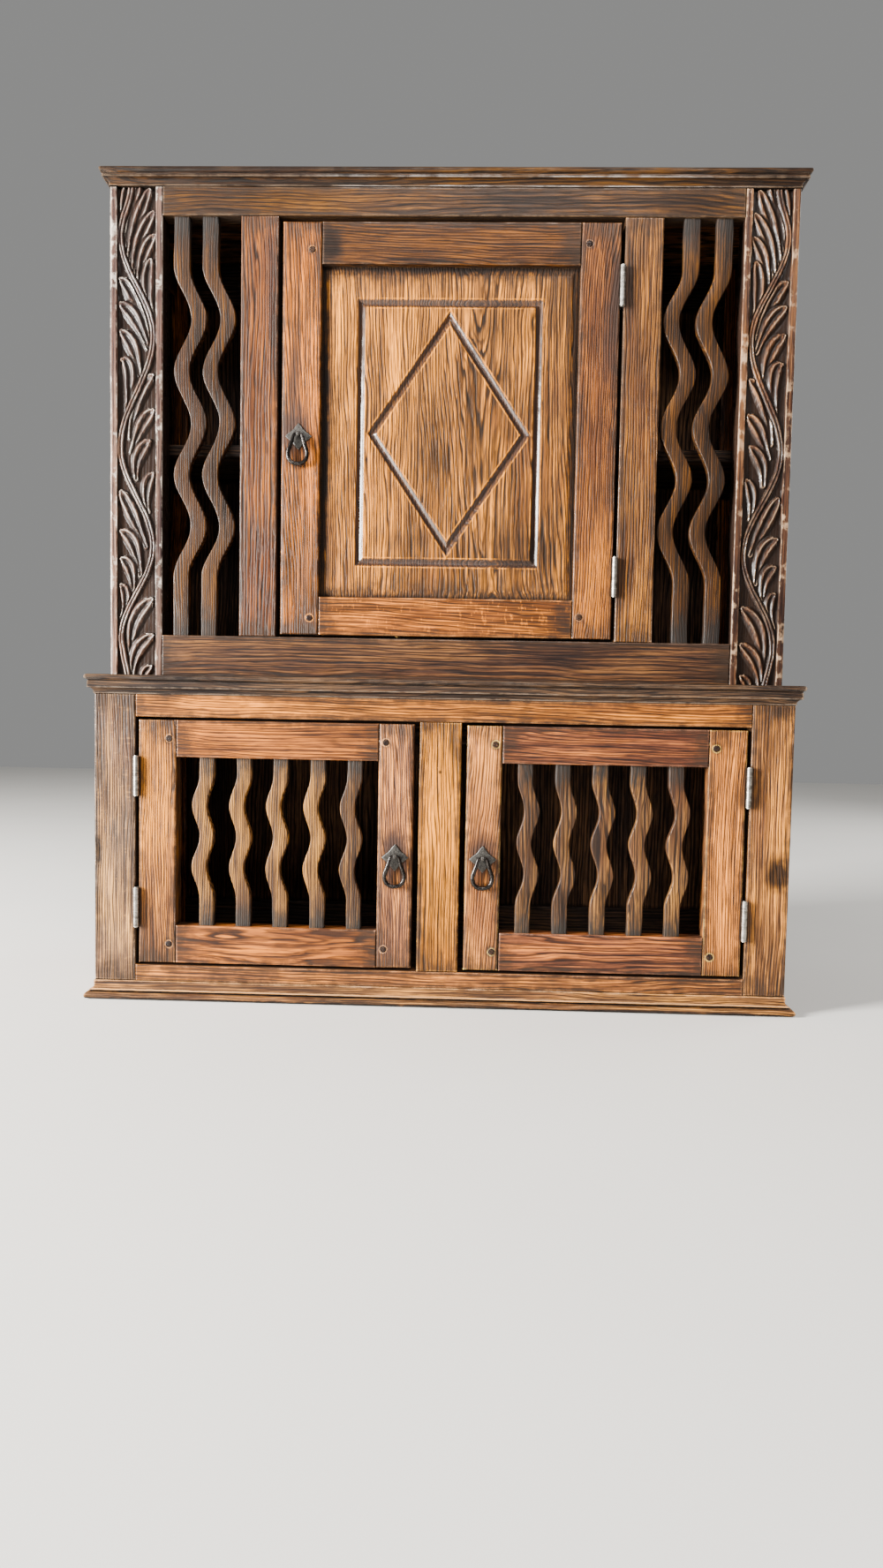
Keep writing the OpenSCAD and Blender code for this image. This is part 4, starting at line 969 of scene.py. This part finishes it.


# Front, first seed, heights of the bottom and top rails in millimetres, and the woods of the lock stile, the
# hinge stile and the rails: the bottom rail has the first of these, the top rail the last
# The first patch of each lock stile lies round its pull: grease, and the drop's painted shadow
DOORS = {
    "upper_door": (
        FACE_UP, 127, (50, 53.5),
        ((175, 97, 18), (-0.48, 0.0), dict(
            seed=1.0, lines=190, tilt=(0.05, 0.0), smudge=GREASE_AND_SHADOW,
            marks=((-194, 736, 26, 46, 0.93), (-200, 800, 10, 70, 0.6), *ringed((-179, 968), (-178, 497))))),
        ((134, 77, 31), (0.50, 0.0), dict(
            seed=2.0, lines=200, tilt=(-0.04, 0.0), smudge=GREASE_AND_SHADOW,
            marks=((213, 925, 9, 40, 0.8), (205, 860, 14, 70, 0.5), *ringed((176, 503), (177, 976))))),
        ((186, 105, 26), (0.70, 0.0), dict(
            seed=3.0, lines=170, tilt=(0.03, 0.0), fleck=0.35, marks=((150, 500, 22, 22, 0.4),))),
        ((72, 41, 16), (0.60, 0.06), dict(
            seed=3.5, lines=170, tilt=(0.03, 0.0), fleck=0.3,
            marks=((-156, 973, 20, 30, 0.9), (150, 960, 20, 12, 0.5))))),
    "left_door": (
        FACE_LOW, 117, (49, 47.5),
        ((200, 125, 65), (-0.25, -0.15), dict(
            seed=16.0, lines=190, tilt=(0.04, 0), smudge=GREASE_AND_SHADOW,
            marks=((-56, 196, 24, 38, 0.92), *ringed((-69, 336), (-69, 72))))),
        ((163, 100, 42), (-0.15, -0.12), dict(
            seed=17.0, lines=200, marks=((-378, 290, 9, 34, 0.4), *ringed((-346, 336), (-346, 72))))),
        ((141, 79, 33), (0.10, -0.05), dict(seed=18.0, lines=180))),
    "right_door": (
        FACE_LOW, 124, (49, 47.5),
        ((246, 155, 64), (0.30, -0.12), dict(
            seed=19.0, lines=190, tilt=(-0.05, 0), smudge=GREASE_AND_SHADOW,
            marks=((56, 196, 24, 36, 0.9), *ringed((69, 336), (69, 72))))),
        ((244, 146, 50), (0.55, -0.12), dict(
            seed=20.0, lines=200, marks=((378, 290, 8, 40, 0.5), *ringed((346, 336), (346, 72))))),
        ((137, 78, 44), (0.02, -0.03), dict(seed=21.0, lines=180, tilt=(0.03, 0))))}

for key, (face, seed, (foot, head), lock, hinge, *rails) in DOORS.items():
    place = (key, face, DOOR_T)
    plank(key + "_lock_stile", place, *lock, edge=2.6, seed=seed)
    plank(key + "_hinge_stile", place, *hinge, edge=1.7, seed=seed + 1)
    lock_low, lock_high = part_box(key + "_lock_stile")
    hinge_low, hinge_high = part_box(key + "_hinge_stile")
    inner = (min(lock_high.x, hinge_high.x), max(lock_low.x, hinge_low.x))
    node = key + "_rails"
    woods = [oak(node, "x", tone, pith, edges=face_of(node, x=inner), **look) for tone, pith, look in rails]
    for rail, wood, z, more in (("bottom", woods[0], (lock_low.z, lock_low.z + foot * MM), 8),
                                ("top", woods[-1], (lock_high.z - head * MM, lock_high.z), 5)):
        board("%s_%s_rail" % (key, rail), node, place, wood, inner, z, along="x", edge=1.5, seed=seed + more)


# The fielded panel of the upper door, with its channelled rectangle and diamond, in millimetres

PANEL_GROOVE = 7.8
PANEL_BEVEL = (12, 3.45)
CHANNEL_W = 10.5
CHANNEL_DEEP = 3.7
RECTANGLE = (120, 171)
DIAMOND = (106, 157)
DIAMOND_LEAN = math.atan2(*DIAMOND)
LEAN_X, LEAN_Z = math.cos(DIAMOND_LEAN), math.sin(DIAMOND_LEAN)
panel_x0, panel_x1, panel_z0, panel_z1 = face_of("upper_door_panel")
PANEL_X = (panel_x0 + panel_x1) / 2
PANEL_Z = (panel_z0 + panel_z1) / 2
PANEL_HALF_W = (panel_x1 - panel_x0) / 2 - PANEL_GROOVE * MM
PANEL_HALF_H = (panel_z1 - panel_z0) / 2 - PANEL_GROOVE * MM


def channel_depth(into, px, pz):
    """Depth of the V-shaped channel at a distance into it from its outer edge."""
    t = np.abs(into - CHANNEL_W / 2 + 0.3 * layered(px, pz, 0, 14, 71)) / (CHANNEL_W / 2)
    wall = CHANNEL_DEEP * np.clip(1 - np.sqrt(t * t + 0.012), 0, 1)
    nick = smoothstep(0.45, 0.9, layered(px, pz, 3, 7, 72))
    return np.where(t < 1.15, wall + 0.5 * nick * smoothstep(1.15, 0.9, t), 0)


def panel_depth(x, z):
    px = (x - PANEL_X) / MM
    pz = (z - PANEL_Z) / MM
    off_x, off_z = np.abs(px), np.abs(pz)
    rim = np.minimum(PANEL_HALF_W / MM - off_x, PANEL_HALF_H / MM - off_z)
    reach, deep = PANEL_BEVEL
    bevel = deep * np.clip((reach - rim) / reach, 0, 1)
    rectangle = np.minimum(RECTANGLE[0] - off_x, RECTANGLE[1] - off_z)
    diamond = DIAMOND[0] * LEAN_X - (off_x * LEAN_X + off_z * LEAN_Z)
    cut = np.maximum(channel_depth(rectangle, px, pz), channel_depth(diamond, px, pz))
    wave = 0.25 * layered(px, pz, 0, 40, 73) + 0.06 * layered(px * 6, pz, 0, 12, 74)
    return (bevel + cut + 0.25 + wave) * MM


wood_panel = oak(
    "panel", "z", (174, 107, 31), (0.075, -0.02), seed=4.0, lines=165, tilt=(0.035, 0.03), warp=5.0,
    stain=0.2, figure=1.08,
    edges=(PANEL_X - PANEL_HALF_W, PANEL_X + PANEL_HALF_W, PANEL_Z - PANEL_HALF_H, PANEL_Z + PANEL_HALF_H),
    channels=(PANEL_X, PANEL_Z, CHANNEL_W * MM, (
        (0, 0, RECTANGLE[0] * MM, RECTANGLE[1] * MM), (LEAN_X, LEAN_Z, DIAMOND[0] * MM * LEAN_X, 0))),
    # The bands of strength 1.0 along the left and top edges are painted shadow with grime; the band along
    # the right edge is grime
    marks=((75, 880, 45, 40, 0.45), (95, 590, 50, 34, 0.6), (-60, 600, 60, 14, 0.3),
           (-168, 745, 24, 340, 1.0), (0, 955, 300, 24, 1.0), (169, 745, 15, 300, 0.85),
           (150, 745, 60, 300, 0.30)))
board("upper_door_panel", "upper_door_panel", ("upper_door", FACE_UP + 5 * MM, 10 * MM), wood_panel,
      depth=panel_depth, step=(1.3, 1.3), edge=1.0, seed=31, chips=0.2)


# Slats, with soot-dark ends

SLATS = dict(lines=220, rub=(0.34, 0.80), grime=0.5, relief=0.5, soil=0.85)
wood_slats_upper = oak("upper_slat", "z", (73, 44, 17), (0.2, -0.12), seed=25.0, wear=0.5, polish=0.8,
                       soil_reach=0.065, dirt=(27, 26, 25), edges=(-1, 1, *UPPER_Z), **SLATS)
wood_slats_lower = oak("lower_slat", "z", (113, 77, 42), (0.2, -0.22), seed=26.0, wear=0.4, polish=0.6,
                       soil_reach=0.040, dirt=(32, 30, 28), edges=(-1, 1, 0.096, 0.313), **SLATS)
for side, mirror, mids in (("left", -1, (338.5, 301.5)), ("right", 1, (338.5, 297.5))):
    slats("side_slats_" + side, wood_slats_upper, "case", FACE_UP, [mirror * m * MM for m in mids],
          20.6 * MM, UPPER_Z, (62 * MM, 66.4 * MM, mirror * 10.2 * MM, 2.2 * MM), 80 + mirror)
    door = side + "_door"
    low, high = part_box(door + "_lock_stile")
    foot, head = DOORS[door][2]
    slats(door + "_slats", wood_slats_lower, door, FACE_LOW,
          [mirror * (207.45 + (i - 2) * 47.5) * MM for i in range(5)], 19 * MM,
          (low.z + foot * MM, high.z - head * MM),
          (21 * MM, 40 * MM, -mirror * 4.5 * MM, 0.5 * MM), 90 + mirror)


# Mouldings

MOULDED = dict(grime=1.0, stain=0.7, hollow=0.012)
wood_cornice = oak("cornice", "x", (56, 35, 17), (1.3, 0.0), seed=22.0, lines=220, wear=0.8, stain=0.6)
wood_waist = oak("waist", "x", (72, 52, 35), (0.7, 0.0), seed=23.0, lines=220, wear=0.9, **MOULDED)
wood_base = oak("base", "x", (168, 112, 56), (0.3, 0.0), seed=24.0, lines=200, wear=0.8, **MOULDED)
moulding("cornice_moulding", "cornice", wood_cornice, CROWN, FACE_UP)
moulding("waist_ledge_moulding", "waist_moulding", wood_waist, WAIST, FACE_LOW)
moulding("base_foot_moulding", "base_moulding", wood_base, BASE, FACE_LOW)


# The sides, back and inside

SIDE = (124, 72, 36)
for nodes, wood in (
        (("upper_rear_posts", "lower_rear_posts"),
         oak("side_post", "z", SIDE, (0.1, 0.3), seed=28.0, lines=180)),
        (("upper_side_rails", "lower_side_rails"),
         oak("side_rail", "y", SIDE, (0.2, 0.3), seed=29.0, lines=180)),
        (("upper_side_panels", "lower_side_panels"),
         oak("side_panel", "z", SIDE, (0.36, 0.03), seed=30.0, lines=120, tilt=(0.0, 0.04))),
        (("top_board", "waist_board"),
         oak("top_board", "x", (112, 70, 42), (0.9, 0.05), seed=31.0, lines=110, tilt=(0.03, 0.0))),
        (("upper_back_rails", "lower_back_rails", "bottom_board", "shelf", "shelf_cleats", "door_stops"),
         oak("inside", "x", (50, 34, 23), (0.4, 0.0), seed=32.0, lines=140, rough=0.62, wear=0.2, coat=0.0)),
        (("upper_back_boards", "lower_back_boards"),
         oak("back_board", "z", (76, 53, 36), (0.0, 0.2), seed=33.0, lines=120, rough=0.66, wear=0.25,
             coat=0.0))):
    for node in nodes:
        worn_copy(node, wood)


# Pegs: slightly irregular, with domed ends

PEG_R = 4.45 * MM
PEG_SIDES = 20
# Shares of the radius and millimetres behind the end
PEG_DOME = ((0.0, 0.0), (0.55, 0.05), (0.85, 0.2), (0.97, 0.55), (1.0, 1.2))
wood_pegs = oak("peg", "y", (56, 38, 26), (0.0, 0.0), seed=27.0, lines=300, wear=0.0, coat=0.0, polish=0.0)


def separate_pegs(node):
    """The points of each peg of a node."""
    pegs = []
    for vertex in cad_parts[node].data.vertices:
        for points in pegs:
            if (points[0] - vertex.co).length < 40 * MM:
                points.append(vertex.co)
                break
        else:
            pegs.append([vertex.co])
    return pegs


def peg_rings(points, index):
    xs, ys, zs = zip(*points)
    cx, cz = (min(xs) + max(xs)) / 2, (min(zs) + max(zs)) / 2
    rings = []
    for share, y in PEG_DOME:
        ring = []
        for c, s in turns(PEG_SIDES):
            r = PEG_R * share * (1 + 0.05 * noise_at(c, s, cx * 50, 0.9, 5 + index))
            lift = 0.12 * noise_at(c * share, s * share, cz * 50, 0.8, 9 + index) if share < 0.9 else 0
            ring.append((cx + r * c, min(ys) + (y + 0.15 + lift) * MM, cz + r * s))
        rings.append(ring)
    rings.append([(cx + PEG_R * c, max(ys), cz + PEG_R * s) for c, s in turns(PEG_SIDES)])
    return rings


for door in DOORS:
    node = door + "_pegs"
    verts, faces = [], []
    for index, points in enumerate(separate_pegs(node)):
        add_tube(verts, faces, peg_rings(points, index))
    obj = new_object(node + "_worn", node, verts, faces, wood_pegs, door, 50)
    face_outward(obj.data, 5e-5)


# Pulls: hammered diamond plates with their eye bolts, and pear-shaped drops, in millimetres

iron = metal("forged_iron", (66, 64, 60), (32, 30, 28), rough=0.42, metallic=0.45)
dark_iron = metal("drop_iron", (58, 54, 51), (20, 18, 17), rough=0.24, bump=0.0002, seed=1.0)
PLATE_HALF = 17
PLATE_SIDES = 72
# Shares of the plate's size, and how far it stands out there
PLATE = ((0.12, 2.0), (0.3, 1.95), (0.5, 1.85), (0.7, 1.75), (0.86, 1.65), (0.95, 1.5), (1.0, 1.05),
         (1.0, 0.0))
# The bar that the drop hangs on: above the plate's middle, and in front of the door
BAR_UP = 2
BAR_OUT = 5.6
# Places along the bar and radii of the eye's section
EYE = ((-1.4, 3.3), (-1.75, 2.9), (-1.75, 2.1), (-1.4, 1.75), (1.4, 1.75), (1.75, 2.1), (1.75, 2.9),
       (1.4, 3.3))
# Places behind the door's back and radii
SHANK_END = ((6.0, 1.5), (6.2, 1.2))
WASHER = ((0.0, 5.7), (0.3, 6.0), (0.9, 6.0), (1.2, 5.7))
NUT = ((1.3, 3.5), (1.6, 3.8), (3.9, 3.8), (4.3, 3.4))
DROP_LONG = 38.4
DROP_SIDE = [(2.6, -0.1), (5.0, -1.3), (6.4, -4.4), (7.7, -9.5), (9.8, -15.5), (11.9, -21.5), (12.5, -27.0),
             (10.9, -32.6), (6.6, -36.9)]
DROP = [(0.0, 0.0)] + DROP_SIDE + [(0.0, -DROP_LONG)] + [(-x, z) for x, z in reversed(DROP_SIDE)]


def ring_points(x, y, z, radius, axis, sides, seed=0, wobble=0.0, square=0.0):
    """Points round the x or y axis. square pulls the circle towards a square."""
    points = []
    for c, s in turns(sides):
        stretch = 1 + square * (1 / max(abs(c), abs(s)) - 1)
        r = radius * MM * stretch * (1 + wobble * noise_at(c * 1.7, s * 1.7, seed, 1, seed))
        points.append((x + r * c, y, z + r * s) if axis == "y" else (x, y + r * c, z + r * s))
    return points


def plate_rings(cx, cz, face, seed):
    """A diamond with hollow, ragged sides and a beaten front."""
    rings = [[(cx, face - PLATE[0][1] * MM, cz)] * PLATE_SIDES]
    for share, out in PLATE:
        ring = []
        for c, s in turns(PLATE_SIDES):
            straight = PLATE_HALF * MM / (abs(c) + abs(s))
            hollow = 1 - 0.10 * (2 * c * s) ** 2
            ragged = 1 + 0.035 * noise_at(c * 2, s * 2, seed, 0.7, seed)
            r = min(straight * hollow * ragged, straight * 1.01) * share
            beat = 0.22 * MM * noise_at(c * share * 3, s * share * 3, seed, 0.8, seed + 3) if out else 0
            ring.append((cx + r * c, min(face, face - out * MM * 0.85 + beat), cz + r * s))
        rings.append(ring)
    return rings


def drop_ring(i, steps, cx, out, bar, seed):
    """Section i of the drop, a bent rod that thickens downwards, with steps sections between two points."""
    a, b, c, d = (Vector(DROP[(i // steps + j - 1) % len(DROP)]) for j in range(4))
    t = i % steps / steps
    bend, twist = 2 * a - 5 * b + 4 * c - d, 3 * b - a - 3 * c + d
    spot = 0.5 * (2 * b + (c - a) * t + bend * t * t + twist * t ** 3)
    run = (c - a + 2 * bend * t + 3 * twist * t * t).normalized()
    thick = 1.95 + 0.7 * smoothstep(0.0, 0.4, -spot.y / DROP_LONG)
    thick += 0.12 * noise_at(spot.x * 0.2, spot.y * 0.2, seed, 1, seed)
    return [(cx + (spot.x + run.y * thick * u) * MM, out + 0.94 * thick * v * MM,
             bar + (spot.y - run.x * thick * u) * MM) for u, v in turns(16)]


def pull(key, face, seed):
    low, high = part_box(key + "_pull_plate")
    cx, cz = (low.x + high.x) / 2, (low.z + high.z) / 2
    bar = cz + BAR_UP * MM
    out = face - BAR_OUT * MM
    back = face + DOOR_T
    verts, faces = [], []
    add_tube(verts, faces, plate_rings(cx, cz, face, seed))
    eye = [ring_points(cx + x * MM, out, bar, r, "x", 28, seed, 0.03) for x, r in EYE]
    add_tube(verts, faces, eye, joined=True)
    shank = [(out + 2.6 * MM, 1.5)] + [(back + y * MM, r) for y, r in SHANK_END]
    add_tube(verts, faces, [ring_points(cx, y, bar, r, "y", 18) for y, r in shank])
    for profile, sides, more, wobble, square in ((WASHER, 36, 5, 0.02, 0.0), (NUT, 32, 7, 0.01, 0.28)):
        rings = [ring_points(cx, back + y * MM, bar, r, "y", sides, seed + more, wobble, square)
                 for y, r in profile]
        add_tube(verts, faces, rings)
    node = key + "_pull_plate"
    obj = new_object(node + "_forged", node, verts, faces, iron, key + "_door", 32)
    face_outward(obj.data, 1e-5)
    rings = [drop_ring(i, 8, cx, out, bar, seed) for i in range(8 * len(DROP))]
    node = key + "_pull_drop"
    sweep(node + "_forged", node, dark_iron, rings, key + "_drop", joined=True, smooth_angle=70)


for key, face, seed in (("upper", FACE_UP, 3), ("left", FACE_LOW, 6), ("right", FACE_LOW, 9)):
    pull(key, face, seed)


# Hinges and catch: the CAD solids themselves, with their metals

steel = metal("hinge_steel", (158, 154, 146), (98, 93, 87), rough=0.34, bump=0.0001, size=60, seed=2.0)
brass = metal("catch_brass", (190, 150, 80), (96, 70, 36), rough=0.36, bump=0.0001, seed=4.0)
steel_nodes = ["fixed_hinge_leaves", "hinge_pins"] + [door + "_hinge_leaves" for door in DOORS]
for material, nodes in ((steel, steel_nodes), (brass, ("catch_plate", "upper_door_catch"))):
    for node in nodes:
        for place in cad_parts[node].material_slots:
            place.material = material


# Camera, light and floor

def area_light(name, place, target, size, power, colour):
    data = bpy.data.lights.new(name, "AREA")
    data.shape = "RECTANGLE"
    data.size, data.size_y = size
    data.energy = power
    data.color = colour
    obj = bpy.data.objects.new(name, data)
    bpy.context.scene.collection.objects.link(obj)
    obj.location = place
    obj.rotation_euler = (Vector(target) - Vector(place)).to_track_quat("-Z", "Y").to_euler()


camera_data = bpy.data.cameras.new("camera")
camera_data.sensor_width = 36
camera_data.lens = 21.76
camera_data.clip_start = 0.01
camera = bpy.data.objects.new("camera", camera_data)
bpy.context.scene.collection.objects.link(camera)
roll, pitch, yaw = -0.01871, -0.05713, 0.02728
turn = Matrix.Rotation(yaw, 3, "Z") @ Matrix.Rotation(pitch, 3, "X") @ Matrix.Rotation(roll, 3, "Y")
right, forward, up = turn.col[0], turn.col[1], turn.col[2]
camera.matrix_world = Matrix((
    (right.x, up.x, -forward.x, 34.55 * MM),
    (right.y, up.y, -forward.y, -1335.35 * MM),
    (right.z, up.z, -forward.z, 353.46 * MM),
    (0, 0, 0, 1)))
bpy.context.scene.camera = camera

area_light("window_light", (-3.35, -1.6, 1.05), (0, -0.1, 0.6), (1.0, 1.9), 1200, (1.0, 0.97, 0.93))
area_light("side_light", (2.9, 1.5, 1.7), (0.2, 0.1, 0.5), (1.8, 1.8), 70, (1.0, 0.98, 0.96))
area_light("fill_light", (0.2, -2.9, 3.0), (0.1, 0, 0.55), (1.6, 1.0), 110, (1.0, 0.98, 0.96))

floor_mesh = bpy.data.meshes.new("floor")
floor_mesh.from_pydata([(-6, -6, 0), (6, -6, 0), (6, 6, 0), (-6, 6, 0)], [], [(0, 1, 2, 3)])
floor_mesh.materials.append(floor_paint((222, 220, 215)))
floor = bpy.data.objects.new("floor", floor_mesh)
bpy.context.scene.collection.objects.link(floor)
floor.location.z = -0.5 * MM

world = bpy.data.worlds.new("studio")
world.use_nodes = True
background = world.node_tree.nodes["Background"]
background.inputs["Color"].default_value = (0.80, 0.80, 0.79, 1)
background.inputs["Strength"].default_value = 0.34
bpy.context.scene.world = world
